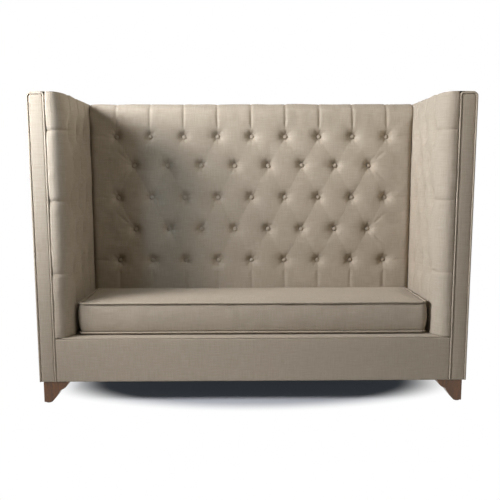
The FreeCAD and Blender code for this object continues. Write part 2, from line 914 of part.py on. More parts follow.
def make_zip():
    face, height = zip_place()
    half = zip_half_length
    reach = zip_tape_height / 2
    tape = block(-half, half, face, face + zip_tape_thickness, height - reach, height + reach)
    chain_front = face + zip_tape_thickness
    chain_back = chain_front + zip_chain_thickness
    reach = zip_chain_height / 2
    chain = block(-half, half, chain_front, chain_back, height - reach, height + reach)
    stops = []
    for x in (-half, half - slider_wall):
        end = x + slider_wall
        rear = chain_back + slider_wall
        stops.append(block(x, end, chain_front, rear, height - zip_stop_reach, height + zip_stop_reach))
    write("cushion_zip", tape.fuse(chain).multiFuse(stops).removeSplitter())


def make_slider():
    face, height = zip_place()
    start = -zip_half_length + slider_wall + slider_clearance
    front = face + zip_tape_thickness + slider_clearance
    back = face + zip_tape_thickness + zip_chain_thickness + slider_clearance + slider_wall
    end = start + slider_length
    reach = slider_height / 2
    body = block(start, end, front, back, height - reach, height + reach)
    reach = zip_chain_height / 2 + slider_clearance
    channel = block(start - 1, end + 1, front - 1, back - slider_wall, height - reach, height + reach)
    body = body.cut(channel)
    middle = (start + end) / 2
    rear = back + pull_thickness
    reach = pull_bridge / 2
    bridge = block(middle - reach, middle + reach, back, rear, height - reach, height + reach)
    reach = pull_width / 2
    pull = block(middle - reach, middle + reach, back, rear, height - pull_length, height)
    write("zip_slider", body.multiFuse([bridge, pull]).removeSplitter())


# Bracket legs with an ogee on both inner sides, their bolts, nuts and glides

def leg_profile(direction, inner, outer):
    """The leg's outline in the plane of direction ('x' or 'y'), between its inner and outer faces."""
    sign = 1 if outer > inner else -1
    foot = outer - sign * leg_foot_width
    step = inner + sign * leg_step
    top = leg_height
    knee = top - leg_step_drop
    floor = glide_thickness

    def at(place, height):
        return vec(place, 0, height) if direction == "x" else vec(0, place, height)

    first_mid = at(inner + sign * leg_step * ogee_step_share, top - leg_step_drop * ogee_drop_share)
    second_mid = at(step + (foot - step) * ogee_foot_share, (knee + floor) / 2)
    edges = [
        Part.makeLine(at(inner, top), at(outer, top)),
        Part.makeLine(at(outer, top), at(outer, floor)),
        Part.makeLine(at(outer, floor), at(foot, floor)),
        curve(at(foot, floor), second_mid, at(step, knee)),
        curve(at(step, knee), first_mid, at(inner, top)),
    ]
    return Part.Face(Part.Wire(edges))


def leg_faces(toward):
    """Outer and inner X and Y of a right-hand leg; toward is +1 for a front leg and -1 for a rear one."""
    outer_x = half_width - leg_inset
    outer_y = -toward * (half_depth - leg_front_inset)
    return outer_x, outer_x - leg_top_width, outer_y, outer_y + toward * leg_top_width


def bolt_place(toward):
    _, inner_leg_x, _, inner_leg_y = leg_faces(toward)
    return inner_leg_x + bolt_from_inner_edge, inner_leg_y - toward * bolt_from_inner_edge


def bolt_hole(toward):
    x, y = bolt_place(toward)
    low = leg_height - bolt_in_leg - bolt_clearance
    return peg(bolt_diameter / 2 + bolt_clearance, bolt_in_leg + 2 * block_height, vec(x, y, low), up)


def leg(toward):
    outer_x, inner_leg_x, outer_y, inner_leg_y = leg_faces(toward)
    across = leg_profile("x", inner_leg_x, outer_x).extrude(along_y * leg_top_width)
    across.translate(vec(0, min(outer_y, inner_leg_y), 0))
    deep = leg_profile("y", inner_leg_y, outer_y).extrude(along_x * leg_top_width)
    deep.translate(vec(inner_leg_x, 0, 0))
    return across.common(deep).cut(bolt_hole(toward))


def leg_bolt(toward):
    x, y = bolt_place(toward)
    length = bolt_in_leg + dust_cover_thickness + block_height + nut_height + bolt_end
    return peg(bolt_diameter / 2, length, vec(x, y, leg_height - bolt_in_leg), up)


def leg_nut(toward):
    x, y = bolt_place(toward)
    low = frame_bottom + block_height
    angles = [math.pi / 3 * n for n in range(6)]
    radius = nut_width / 2 / math.cos(math.pi / 6)
    corners = [vec(x + radius * math.cos(a), y + radius * math.sin(a), low) for a in angles]
    nut = prism(corners, up * nut_height)
    return nut.cut(peg(bolt_diameter / 2 + nut_clearance, nut_height, vec(x, y, low), up))


def glide(toward):
    outer_x, _, outer_y, _ = leg_faces(toward)
    x = outer_x - leg_foot_width / 2
    y = outer_y + toward * leg_foot_width / 2
    return peg(glide_diameter / 2, glide_thickness, vec(x, y, 0), up, glide_sides)


def both_sides(maker):
    solids = []
    for toward in (1, -1):
        solids += [maker(toward), mirrored(maker(toward))]
    return Part.Compound(solids)


def make_legs():
    write_pair("leg_front", leg(1))
    write_pair("leg_rear", leg(-1))
    write("leg_bolts", both_sides(leg_bolt))
    write("leg_nuts", both_sides(leg_nut))
    write("leg_glides", both_sides(glide))


os.makedirs("parts", exist_ok=True)
make_frame()
make_corner_blocks()
make_corner_screws()
make_webbing()
make_linings()
make_deck()
make_pads()
make_buttons()
make_panels()
make_piping()
make_cushion()
make_zip()
make_slider()
make_legs()
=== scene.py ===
import math

import bmesh
import bpy
import numpy as np
from mathutils import Matrix, Vector


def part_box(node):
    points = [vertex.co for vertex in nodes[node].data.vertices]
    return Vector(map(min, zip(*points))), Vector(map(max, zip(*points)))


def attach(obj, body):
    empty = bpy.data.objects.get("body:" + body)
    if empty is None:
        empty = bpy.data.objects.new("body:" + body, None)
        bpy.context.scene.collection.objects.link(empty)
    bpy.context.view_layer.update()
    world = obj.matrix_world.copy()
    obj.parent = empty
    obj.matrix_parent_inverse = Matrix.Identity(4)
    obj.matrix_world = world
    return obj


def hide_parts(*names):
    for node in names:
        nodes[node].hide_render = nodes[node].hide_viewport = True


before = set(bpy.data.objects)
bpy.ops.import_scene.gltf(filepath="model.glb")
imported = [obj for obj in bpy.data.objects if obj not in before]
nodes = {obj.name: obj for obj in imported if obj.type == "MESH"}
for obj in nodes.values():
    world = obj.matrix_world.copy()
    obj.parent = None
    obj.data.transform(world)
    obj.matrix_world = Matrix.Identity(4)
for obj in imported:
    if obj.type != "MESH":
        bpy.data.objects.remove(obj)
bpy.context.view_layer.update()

scene = bpy.context.scene


# Camera, lamps and floor
# The camera stands in front at standing height and looks a little down. A strong soft lamp up on the left gives
# the shape, four weaker ones light the wings, the left edge and the rear, and a pale room fills the shadows.

photo_size = 500
focal_pixels = 678.0
axis_drop_pixels = 30.0
sensor_width = 36.0
camera_place = Vector((-0.0477, -3.426, 1.027))
pitch, yaw, roll = 0.14385, 0.01058, 0.00231

camera_data = bpy.data.cameras.new("camera")
camera_data.sensor_width = sensor_width
camera_data.lens = focal_pixels / photo_size * sensor_width
camera_data.shift_y = axis_drop_pixels / photo_size
camera_data.clip_start = 0.05
camera = bpy.data.objects.new("camera", camera_data)
turn = Matrix.Rotation(-yaw, 4, "Z") @ Matrix.Rotation(math.pi / 2 - pitch, 4, "X") @ Matrix.Rotation(-roll, 4, "Z")
camera.matrix_world = Matrix.Translation(camera_place) @ turn
scene.collection.objects.link(camera)
scene.camera = camera
scene.view_settings.view_transform = "Standard"


def give(tree, node, inputs):
    """Give inputs of a node a value each, or link them to a socket."""
    for key, value in inputs.items():
        socket = node.inputs[key]
        if isinstance(value, bpy.types.NodeSocket):
            tree.links.new(value, socket)
        else:
            socket.default_value = value


def add(tree, kind, inputs={}, **settings):
    """Add a node to a tree, with its settings and its inputs."""
    node = tree.nodes.new(kind)
    for name, value in settings.items():
        setattr(node, name, value)
    give(tree, node, inputs)
    return node


def linear(colour):
    """A colour written as sRGB hex, turned to linear RGBA."""
    parts = [int(colour[n:n + 2], 16) / 255 for n in (1, 3, 5)]
    return tuple(p / 12.92 if p <= 0.04045 else ((p + 0.055) / 1.055) ** 2.4 for p in parts) + (1.0,)


def material(name):
    """A new material with its tree, its shader and its output."""
    made = bpy.data.materials.new(name)
    made.use_nodes = True
    tree = made.node_tree
    tree.nodes.clear()
    shader = add(tree, "ShaderNodeBsdfPrincipled")
    add(tree, "ShaderNodeOutputMaterial", {"Surface": shader.outputs[0]})
    return made, tree, shader

def end_shader(tree, shader, colour, roughness, bump=None, inputs={}):
    """Give a shader its colour, its roughness, its bump as height, strength and distance, and other inputs."""
    give(tree, shader, {"Base Color": colour, "Roughness": roughness, **inputs})
    if bump:
        height, strength, distance = bump
        raised = add(tree, "ShaderNodeBump", {"Height": height, "Strength": strength, "Distance": distance})
        tree.links.new(raised.outputs[0], shader.inputs["Normal"])


def object_place(tree):
    """A place in the object's own metres."""
    return add(tree, "ShaderNodeTexCoord").outputs["Object"]


def cloth_place(tree):
    """A place in the cloth's own metres."""
    return add(tree, "ShaderNodeUVMap", uv_map="cloth").outputs[0]


def stretched(tree, place, scale, **inputs):
    """A place scaled along each axis, and moved or turned where asked."""
    return add(tree, "ShaderNodeMapping", {"Vector": place, "Scale": scale, **inputs}).outputs[0]


def noise(tree, place, scale, detail, inputs={}, **settings):
    """Smooth noise over a place."""
    inputs = {"Vector": place, "Scale": scale, "Detail": detail, **inputs}
    return add(tree, "ShaderNodeTexNoise", inputs, **settings).outputs[0]


def waves(tree, place, scale, distortion, direction, inputs={}):
    """Even waves along one direction, with a little waver."""
    inputs = {"Vector": place, "Scale": scale, "Distortion": distortion, **inputs}
    return add(tree, "ShaderNodeTexWave", inputs, bands_direction=direction).outputs[1]


def cells(tree, place, scale):
    """The distance to the middle of the nearest of many small cells."""
    return add(tree, "ShaderNodeTexVoronoi", {"Vector": place, "Scale": scale}).outputs["Distance"]


def calculated(tree, operation, *values):
    """The result of one calculation with values or sockets."""
    return add(tree, "ShaderNodeMath", dict(enumerate(values)), operation=operation).outputs[0]


def ranged(tree, value, low=0.0, high=1.0, to_low=0.0, to_high=1.0, **settings):
    """A value turned from one range to another, and held to it."""
    limits = {0: value, 1: low, 2: high, 3: to_low, 4: to_high}
    return add(tree, "ShaderNodeMapRange", limits, **settings).outputs[0]


def blended(tree, factor, first, second):
    """Two colours mixed by a factor, each a socket or written as hex."""
    first, second = (linear(colour) if isinstance(colour, str) else colour for colour in (first, second))
    return add(tree, "ShaderNodeMix", {0: factor, 6: first, 7: second}, data_type="RGBA").outputs[2]


def either(tree, factor, first, second):
    """A shader that is the first where the factor is 0, and the second where it is 1."""
    return add(tree, "ShaderNodeMixShader", {0: factor, 1: first.outputs[0], 2: second.outputs[0]})


def lamp(name, place, target, size, watts, colour, spread=math.pi):
    """A round soft lamp at a place, turned to its target."""
    data = bpy.data.lights.new(name, "AREA")
    data.shape = "DISK"
    data.spread = spread
    data.size = size
    data.energy = watts
    data.color = linear(colour)[:3]
    made = bpy.data.objects.new(name, data)
    place = Vector(place)
    aim = (Vector(target) - place).to_track_quat("-Z", "Y").to_matrix().to_4x4()
    made.matrix_world = Matrix.Translation(place) @ aim
    scene.collection.objects.link(made)


lamp("key_lamp", (-2.6, -1.4, 2.1), (0.2, 0.0, 1.9), 1.2, 85.0, "#f7f8ff", spread=1.9)
lamp("side_lamp", (1.5, -1.3, 3.0), (-0.7, 0.0, 1.4), 1.5, 7.82, "#fffbf1", spread=1.75)
lamp("edge_lamp", (-1.75, -1.75, 1.75), (-0.95, -0.35, 1.2), 0.4, 1.10, "#cfe6ff", spread=0.75)
lamp("window_lamp", (-3.6, -0.75, 1.95), (0.8, -0.1, 1.25), 0.9, 3.20, "#b4e2ff", spread=0.9)
lamp("rear_lamp", (2.4, 2.6, 2.3), (0.3, 0.0, 0.7), 2.0, 70.0, "#fffaf2")

white = (1, 1, 1, 1)
room = bpy.data.worlds.new("pale_room")
room.use_nodes = True
tree = room.node_tree
tree.nodes.clear()
ray = add(tree, "ShaderNodeLightPath").outputs
room_light = add(tree, "ShaderNodeBackground", {"Color": linear("#fff3e6"), "Strength": 0.065})
room_seen = add(tree, "ShaderNodeBackground", {"Color": white, "Strength": 1.0})
seen = calculated(tree, "MAXIMUM", ray["Is Camera Ray"], ray["Is Transmission Ray"])
seen = calculated(tree, "MAXIMUM", seen, ray["Is Glossy Ray"])
add(tree, "ShaderNodeOutputWorld", {"Surface": either(tree, seen, room_light, room_seen).outputs[0]})
scene.world = room


def plain_mesh(name, points, faces, smooth=True):
    """A mesh object from points and faces, linked to the scene."""
    mesh = bpy.data.meshes.new(name)
    mesh.from_pydata([tuple(p) for p in points], [], faces)
    mesh.update()
    if smooth:
        mesh.polygons.foreach_set("use_smooth", [True] * len(mesh.polygons))
    made = bpy.data.objects.new(name, mesh)
    scene.collection.objects.link(made)
    return made


def vectors(items, name="co"):
    """One vector for each point or face of a mesh, as an array."""
    values = np.zeros(len(items) * 3)
    items.foreach_get(name, values)
    return values.reshape(-1, 3)


# Only the floor near the settee takes its shadow. Seen by the camera it is as white as the room.
reach = 9.0
floor = plain_mesh("floor", [(-reach, -reach, 0), (reach, -reach, 0), (reach, reach, 0), (-reach, reach, 0)],
                   [(0, 1, 2, 3)], smooth=False)
paper, tree, shader = material("white_studio_paper")
tree.nodes.remove(shader)
oval = stretched(tree, object_place(tree), (0.80, 1.75, 1.0))
far = add(tree, "ShaderNodeVectorMath", {0: oval}, operation="LENGTH").outputs["Value"]
far = ranged(tree, far, 0.60, 0.86, interpolation_type="SMOOTHSTEP")
near_floor = add(tree, "ShaderNodeBsdfDiffuse", {"Color": (0.55, 0.56, 0.585, 1)})
# A faint bluish painted glow, seen only by the camera, lifts the shadow under the settee.
painted_glow = add(tree, "ShaderNodeEmission", {"Color": (0.020, 0.024, 0.029, 1), "Strength": 1.0})
painted_glow_floor = add(tree, "ShaderNodeAddShader", {0: near_floor.outputs[0], 1: painted_glow.outputs[0]})
far_floor = add(tree, "ShaderNodeEmission", {"Color": white, "Strength": 1.0})
floor_felt = add(tree, "ShaderNodeBsdfDiffuse", {"Color": (0.8, 0.8, 0.8, 1)})
ray = add(tree, "ShaderNodeLightPath").outputs
seen = calculated(tree, "MAXIMUM", ray["Is Camera Ray"], ray["Is Glossy Ray"])
floor_both = either(tree, seen, floor_felt, either(tree, far, painted_glow_floor, far_floor))
# From below the floor is clear, so that the underside shows.
from_below = add(tree, "ShaderNodeNewGeometry").outputs["Backfacing"]
floor_both = either(tree, from_below, floor_both, add(tree, "ShaderNodeBsdfTransparent"))
output = [n for n in tree.nodes if n.type == "OUTPUT_MATERIAL"][0]
tree.links.new(floor_both.outputs[0], output.inputs["Surface"])
floor.data.materials.append(paper)


# Hardwood frame
# Posts, rails, stiles and corner blocks of planed beech, glued mortise and tenon joints, all under the
# upholstery. Planed beech is pale pink brown, with short dark flecks and a faint long grain.

def dress(node, finish):
    """A CAD node that stays, with its new finish in every slot."""
    made = nodes[node]
    made.data.materials.clear()
    made.data.materials.append(finish)


def beech(name, along):
    """Planed beech with its grain along one axis: 0, 1 or 2."""
    made, tree, shader = material(name)
    place = object_place(tree)
    long_grain = [160.0, 160.0, 160.0]
    long_grain[along] = 6.0
    flecks = [520.0, 520.0, 520.0]
    flecks[along] = 60.0
    grain = noise(tree, stretched(tree, place, long_grain), 1.0, 5.0)
    fleck = ranged(tree, noise(tree, stretched(tree, place, flecks), 1.0, 2.0), 0.58, 0.7)
    body = blended(tree, fleck, blended(tree, grain, "#c79f72", "#b08659"), "#8f6740")
    end_shader(tree, shader, body, 0.62, (grain, 0.3, 0.0006))
    return made


rail_beech = beech("planed_beech_rail", 0)
side_beech = beech("planed_beech_side_rail", 1)
post_beech = beech("planed_beech_post", 2)
for side in ("left", "right"):
    for node in ("front_post_", "back_post_"):
        dress(node + side, post_beech)
    for node in ("wing_top_rail_", "wing_lower_rail_", "side_seat_rail_"):
        dress(node + side, side_beech)
for node in ("front_seat_rail", "rear_seat_rail", "back_top_rail", "back_mid_rail", "back_lower_rail"):
    dress(node, rail_beech)
dress("back_stiles", post_beech)
dress("corner_blocks", post_beech)
dress("cross_rails", side_beech)


# Screws, leg bolts and tee nuts
# Zinc plated steel, turned and pressed. Bright zinc is a cool grey metal with a fine spangle and a satin face.

zinc, tree, shader = material("bright_zinc_plated_steel")
spangle = cells(tree, object_place(tree), 900.0)
end_shader(tree, shader, blended(tree, spangle, "#b9bcc0", "#9da2a8"),
           ranged(tree, spangle, to_low=0.28, to_high=0.42), inputs={"Metallic": 1.0})
for node in ("corner_screws", "leg_bolts", "leg_nuts"):
    dress(node, zinc)


# Webbing
# Elastic rubber and jute webbing 60 mm wide, stretched across the seat, the back and the wings and stapled to
# the rails. It is black with two brown stripes along it and a coarse weave across.

def tag(piece, body, *stands_for, slot=None):
    """Put a piece on its body, in place of CAD nodes, which are hidden. The slot is not used."""
    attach(piece, body)
    if stands_for:
        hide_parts(*stands_for)


def node_group(name, sockets):
    """A geometry tree with named inputs, given as (name, kind, value), and its input and output nodes."""
    tree = bpy.data.node_groups.new(name, "GeometryNodeTree")
    tree.interface.new_socket("Geometry", in_out="INPUT", socket_type="NodeSocketGeometry")
    for title, kind, value in sockets:
        socket = tree.interface.new_socket(title, in_out="INPUT", socket_type=kind)
        if value is not None:
            socket.default_value = value
    tree.interface.new_socket("Geometry", in_out="OUTPUT", socket_type="NodeSocketGeometry")
    return tree, add(tree, "NodeGroupInput").outputs


def end_tree(tree, geometry, finish):
    """Close a geometry tree: real geometry with its material."""
    real = add(tree, "GeometryNodeRealizeInstances", {0: geometry})
    done = add(tree, "GeometryNodeSetMaterial", {0: real.outputs[0], "Material": finish})
    add(tree, "NodeGroupOutput", {0: done.outputs[0]})


def laid_along(tree, points, form, axis, spin=None):
    """Copies of a form on points, one axis of each turned to the direction that its point keeps as facing."""
    way = add(tree, "GeometryNodeInputNamedAttribute", {"Name": "facing"}, data_type="FLOAT_VECTOR")
    lie = add(tree, "FunctionNodeAlignRotationToVector", {"Vector": way.outputs[0]}, axis=axis)
    if spin is not None:
        lie = add(tree, "FunctionNodeRotateRotation", {0: lie.outputs[0], 1: spin}, rotation_space="LOCAL")
    placed = {"Points": points, "Instance": form, "Rotation": lie.outputs[0]}
    return add(tree, "GeometryNodeInstanceOnPoints", placed).outputs[0]


def cloth_kept(tree, geometry, place):
    """Geometry whose corners keep a place as their cloth coordinates."""
    kept = {"Geometry": geometry, "Name": "cloth", "Value": place}
    return add(tree, "GeometryNodeStoreNamedAttribute", kept, data_type="FLOAT2", domain="CORNER").outputs[0]


def applied(piece):
    """Apply a piece's modifiers to it, and give its new mesh."""
    bpy.context.view_layer.update()
    mesh = bpy.data.meshes.new_from_object(piece.evaluated_get(bpy.context.evaluated_depsgraph_get()))
    piece.modifiers.clear()
    piece.data = mesh
    return mesh


def grown(name, points, tree, values={}, directions=None):
    """A plain mesh grown by a geometry tree from a cloud of points, each with a direction."""
    made = plain_mesh(name, points, [])
    if directions is not None:
        facing = made.data.attributes.new("facing", "FLOAT_VECTOR", "POINT")
        facing.data.foreach_set("vector", np.array(directions, float).ravel())
    grower = made.modifiers.new("grower", "NODES")
    grower.node_group = tree
    for item in tree.interface.items_tree:
        if item.in_out == "INPUT" and item.name in values:
            grower[item.identifier] = values[item.name]
    applied(made)
    return made


webbing, tree, shader = material("woven_rubber_webbing")
place = cloth_place(tree)
across = add(tree, "ShaderNodeSeparateXYZ", {0: place}).outputs[1]
stripe = ranged(tree, calculated(tree, "PINGPONG", across, 0.030), 0.013, 0.015)
ribs = waves(tree, place, 140.0, 0.6, "X")
body = blended(tree, ribs, blended(tree, stripe, "#23211f", "#6b5237"), "#3a3632")
end_shader(tree, shader, body, 0.8, (ribs, 0.6, 0.0008))

web_tree, given = node_group("webbing_bands", [
    ("Length", "NodeSocketFloat", 1.0), ("Width", "NodeSocketFloat", 0.06), ("Thickness", "NodeSocketFloat", 0.002)])
size = add(web_tree, "ShaderNodeCombineXYZ", {0: given["Length"], 1: given["Width"], 2: given["Thickness"]})
band = add(web_tree, "GeometryNodeMeshCube", {"Size": size.outputs[0], "Vertices X": 24, "Vertices Y": 5})
spot = add(web_tree, "GeometryNodeInputPosition").outputs[0]
band = cloth_kept(web_tree, band.outputs["Mesh"], spot)
end_tree(web_tree, laid_along(web_tree, given["Geometry"], band, "X"), webbing)

web_width = 0.060
web_thickness = 0.0022
seat_low, seat_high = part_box("seat_webbing")
middle = (seat_low + seat_high) / 2
places = [(x, middle.y, middle.z) for x in np.linspace(seat_low.x + web_width / 2, seat_high.x - web_width / 2, 9)]
bands = grown("seat_webbing_bands", places, web_tree,
              {"Length": seat_high.y - seat_low.y, "Width": web_width, "Thickness": web_thickness},
              [(0, 1, 0)] * len(places))
tag(bands, "settee_frame", "seat_webbing", slot="webbing")


def turned_bands(name, node, places, length, body_turn):
    """Bands that are grown flat and then stood up on a wall: the tree lays them in its own plane."""
    low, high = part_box(node)
    made = grown(name, places, web_tree, {"Length": length, "Width": web_width, "Thickness": web_thickness},
                 [(1, 0, 0)] * len(places))
    made.data.transform(body_turn)
    middle = (low + high) / 2
    made.data.transform(Matrix.Translation(middle))
    tag(made, "settee_frame", node, slot="webbing")


back_low, back_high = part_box("back_webbing")
offsets = np.linspace(back_low.x + web_width / 2, back_high.x - web_width / 2, 9)
turned_bands("back_webbing_bands", "back_webbing", [(0, x, 0) for x in offsets], back_high.z - back_low.z,
             Matrix(((0, 1, 0, 0), (0, 0, 1, 0), (1, 0, 0, 0), (0, 0, 0, 1))))
for side in ("left", "right"):
    low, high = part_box("wing_webbing_" + side)
    offsets = np.linspace(low.z + web_width / 2, high.z - web_width / 2, 4) - (low.z + high.z) / 2
    turned_bands("wing_webbing_bands_" + side, "wing_webbing_" + side, [(0, z, 0) for z in offsets], high.y - low.y,
                 Matrix(((0, 0, 1, 0), (1, 0, 0, 0), (0, 1, 0, 0), (0, 0, 0, 1))))


# Linings
# Bonded black cambric over the webbing, stapled all round, that keeps the stuffing out of the webbing.
# It is a thin fibre cloth with a dull face and a fine dimpled bond.

cambric, tree, shader = material("bonded_polypropylene_cambric")
place = object_place(tree)
body = blended(tree, noise(tree, place, 60.0, 4.0), "#1d1d1f", "#333336")
end_shader(tree, shader, body, 0.85, (cells(tree, place, 420.0), 0.5, 0.0005))


def flat_cloth(name, low, high, across, thickness):
    """A flat stretched cloth with a real thickness, square to one axis: 0, 1 or 2."""
    made = bpy.data.meshes.new(name)
    form = bmesh.new()
    bmesh.ops.create_grid(form, x_segments=24, y_segments=16, size=0.5)
    lengths = [high[n] - low[n] for n in range(3)]
    middle = [(high[n] + low[n]) / 2 for n in range(3)]
    plan = [n for n in range(3) if n != across]
    for vertex in form.verts:
        u, v = vertex.co.x, vertex.co.y
        spot = list(middle)
        spot[plan[0]] += u * lengths[plan[0]]
        spot[plan[1]] += v * lengths[plan[1]]
        vertex.co = spot
    form.to_mesh(made)
    form.free()
    piece = bpy.data.objects.new(name, made)
    scene.collection.objects.link(piece)
    wall = piece.modifiers.new("thickness", "SOLIDIFY")
    wall.thickness = thickness
    wall.offset = 0
    return piece


def lining(name, node, across, thickness=0.0010):
    """A stretched cambric cloth in place of its node."""
    low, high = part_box(node)
    made = flat_cloth(name, low, high, across, thickness)
    made.data.materials.append(cambric)
    tag(made, "settee_frame", node, slot="lining_cloth")


lining("back_lining_cloth", "back_lining", 1)
for side in ("left", "right"):
    lining("wing_lining_cloth_" + side, "wing_lining_" + side, 0)


# Seat deck
# A layer of felt and foam over the seat webbing, covered with the same linen cloth as the outside. In front it
# rolls over the rail as a small lip and is sewn to the border below it.

# The linen is a plain weave of beige linen and polyester with uneven slub threads both ways, with a dull dry face
# and a soft sheen at a low angle. The threads are drawn 2.1 mm apart, because real ones, under 1 mm, would not show.
linen, tree, shader = material("slub_linen_weave")
thread = 0.0021
waves_per_metre = 0.31416 / thread
place = cloth_place(tree)
slubs = [noise(tree, stretched(tree, place, scale, Location=shift), 1.0, 3.0, {"Roughness": 0.6},
               noise_dimensions="2D")
         for scale, shift in (((14.0, 300.0, 1.0), (0, 0, 0)), ((300.0, 14.0, 1.0), (3.1, 7.7, 0)))]
threads = [waves(tree, place, waves_per_metre, 0.35, way, {"Detail": 1.0, "Detail Scale": 0.4}) for way in "XY"]
slub = ranged(tree, calculated(tree, "ADD", *slubs), 0.72, 1.28)
weave = calculated(tree, "MULTIPLY", calculated(tree, "ADD", *threads), 0.5)
gap = ranged(tree, weave, 0.0, 0.45, 0.55, 0.0)
warmth = ranged(tree, noise(tree, object_place(tree), 7.0, 3.0), 0.35, 0.65, 0.0, 0.12)
body = blended(tree, gap, blended(tree, slub, "#a19583", "#afa391"), "#928674")
body = blended(tree, warmth, body, "#ad9a88")
end_shader(tree, shader, body, ranged(tree, slub, to_low=0.93, to_high=0.82),
           (calculated(tree, "ADD", slub, weave), 0.4, 0.0006),
           {"Specular IOR Level": 0.25, "Sheen Weight": 0.18, "Sheen Roughness": 0.5,
            "Sheen Tint": linear("#e8dfd0")})


def pad(piece, node, body="settee_frame"):
    """Tag a padded piece of the linen in place of its node."""
    tag(piece, body, node, slot="upholstery_cloth")


def soft_noise(a, b, size, seed):
    """Smooth noise from -1 to 1 over two coordinates, with lumps of a real size in metres."""
    random = np.random.default_rng(seed)
    cells = 96
    table = random.uniform(-1, 1, (cells, cells))
    i, j = np.floor(a / size).astype(int), np.floor(b / size).astype(int)
    u, v = a / size - i, b / size - j
    u, v = u * u * (3 - 2 * u), v * v * (3 - 2 * v)
    near = table[i % cells, j % cells] * (1 - u) + table[(i + 1) % cells, j % cells] * u
    far = table[i % cells, (j + 1) % cells] * (1 - u) + table[(i + 1) % cells, (j + 1) % cells] * u
    return near * (1 - v) + far * v


def corners_of(mesh):
    """The point that each face corner of a mesh stands on."""
    corner = np.zeros(len(mesh.loops), int)
    mesh.loops.foreach_get("vertex_index", corner)
    return corner


def close_form(mesh, flat, finish):
    """Lay the cloth coordinates on a closed form's face corners, turn its faces outward and give its finish."""
    mesh.uv_layers.new(name="cloth")
    mesh.uv_layers["cloth"].data.foreach_set("uv", np.array(flat).ravel())
    form = bmesh.new()
    form.from_mesh(mesh)
    if form.calc_volume(signed=True) < 0:
        bmesh.ops.reverse_faces(form, faces=form.faces[:])
        form.to_mesh(mesh)
    form.free()
    mesh.materials.append(finish)


def quilt(name, surface, hidden, flat, finish):
    """A closed padded form: a shaped face of rows and columns, and behind each row two hidden points.

    surface is rows x columns x 3, hidden is rows x 2 x 3, first beside column 0 and then beside the last one.
    flat is rows x columns x 2, the cloth's own coordinates in metres.
    """
    rows, columns = surface.shape[:2]
    points = np.concatenate([surface.reshape(-1, 3), hidden.reshape(-1, 3)])
    index = np.arange(rows * columns).reshape(rows, columns)
    back = rows * columns + np.arange(rows * 2).reshape(rows, 2)
    faces = np.stack([index[:-1, :-1], index[:-1, 1:], index[1:, 1:], index[1:, :-1]], -1).reshape(-1, 4).tolist()
    for r in range(rows - 1):
        faces.append([index[r, 0], index[r + 1, 0], back[r + 1, 0], back[r, 0]])
        faces.append([back[r, 0], back[r + 1, 0], back[r + 1, 1], back[r, 1]])
        faces.append([back[r, 1], back[r + 1, 1], index[r + 1, -1], index[r, -1]])
    faces.append([back[0, 0], back[0, 1]] + index[0, ::-1].tolist())
    faces.append(index[-1].tolist() + [back[-1, 1], back[-1, 0]])
    faces = [[int(n) for n in face] for face in faces]
    made = plain_mesh(name, points, faces)
    flat = flat.reshape(-1, 2)
    laid = np.concatenate([flat, flat[np.repeat(index[:, 0], 2)] + 0.05])
    close_form(made.data, laid[corners_of(made.data)], finish)
    return made


deck_low, deck_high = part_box("deck_pad")
deck_columns = np.linspace(deck_low.x, deck_high.x, 180)
nose = 0.0045
around = np.linspace(0, math.pi / 2, 7)
deck_profile = [(deck_low.y + 0.0005, deck_high.z - 0.0076)]
deck_profile += [(deck_low.y + nose * (1 - math.sin(a)), deck_high.z - nose * (1 - math.cos(a))) for a in around[::-1]]
deck_profile += [(y, deck_high.z) for y in np.linspace(deck_low.y + 0.02, deck_high.y - 0.01, 40)]
deck_profile += [(deck_high.y, deck_high.z - 0.004)]
deck_profile = np.array(deck_profile)
lengths = np.concatenate([[0], np.cumsum(np.hypot(*np.diff(deck_profile, axis=0).T))])
x, s = np.meshgrid(deck_columns, lengths)
y = np.broadcast_to(deck_profile[:, :1], x.shape).copy()
z = np.broadcast_to(deck_profile[:, 1:], x.shape).copy()
z -= 0.0008 * (1 + soft_noise(x, s, 0.09, 3)) * np.clip((y - deck_low.y) / 0.02, 0, 1)
y += 0.0004 * soft_noise(x, s, 0.05, 4) * (y < deck_low.y + 0.01)
deck_face = np.stack([x, y, z], -1)
deck_under = np.zeros((len(deck_profile), 2, 3))
for side, edge in ((0, deck_low.x), (1, deck_high.x)):
    deck_under[:, side, 0] = edge
    deck_under[:, side, 1] = np.maximum(deck_profile[:, 0], -0.335)
    deck_under[:, side, 2] = deck_low.z
deck_under[0, :, 1] = deck_low.y + 0.001
deck_under[0, :, 2] = deck_high.z - 0.0077
deck = quilt("seat_deck", deck_face, deck_under, np.stack([x, s], -1), linen)
pad(deck, "deck_pad")


# Border under the seat
# One straight panel of the linen over card and felt, sewn to the deck's lip and stapled under the front rail.

edge_round, edge_drop, puff_reach = 0.004, 0.0016, 0.014


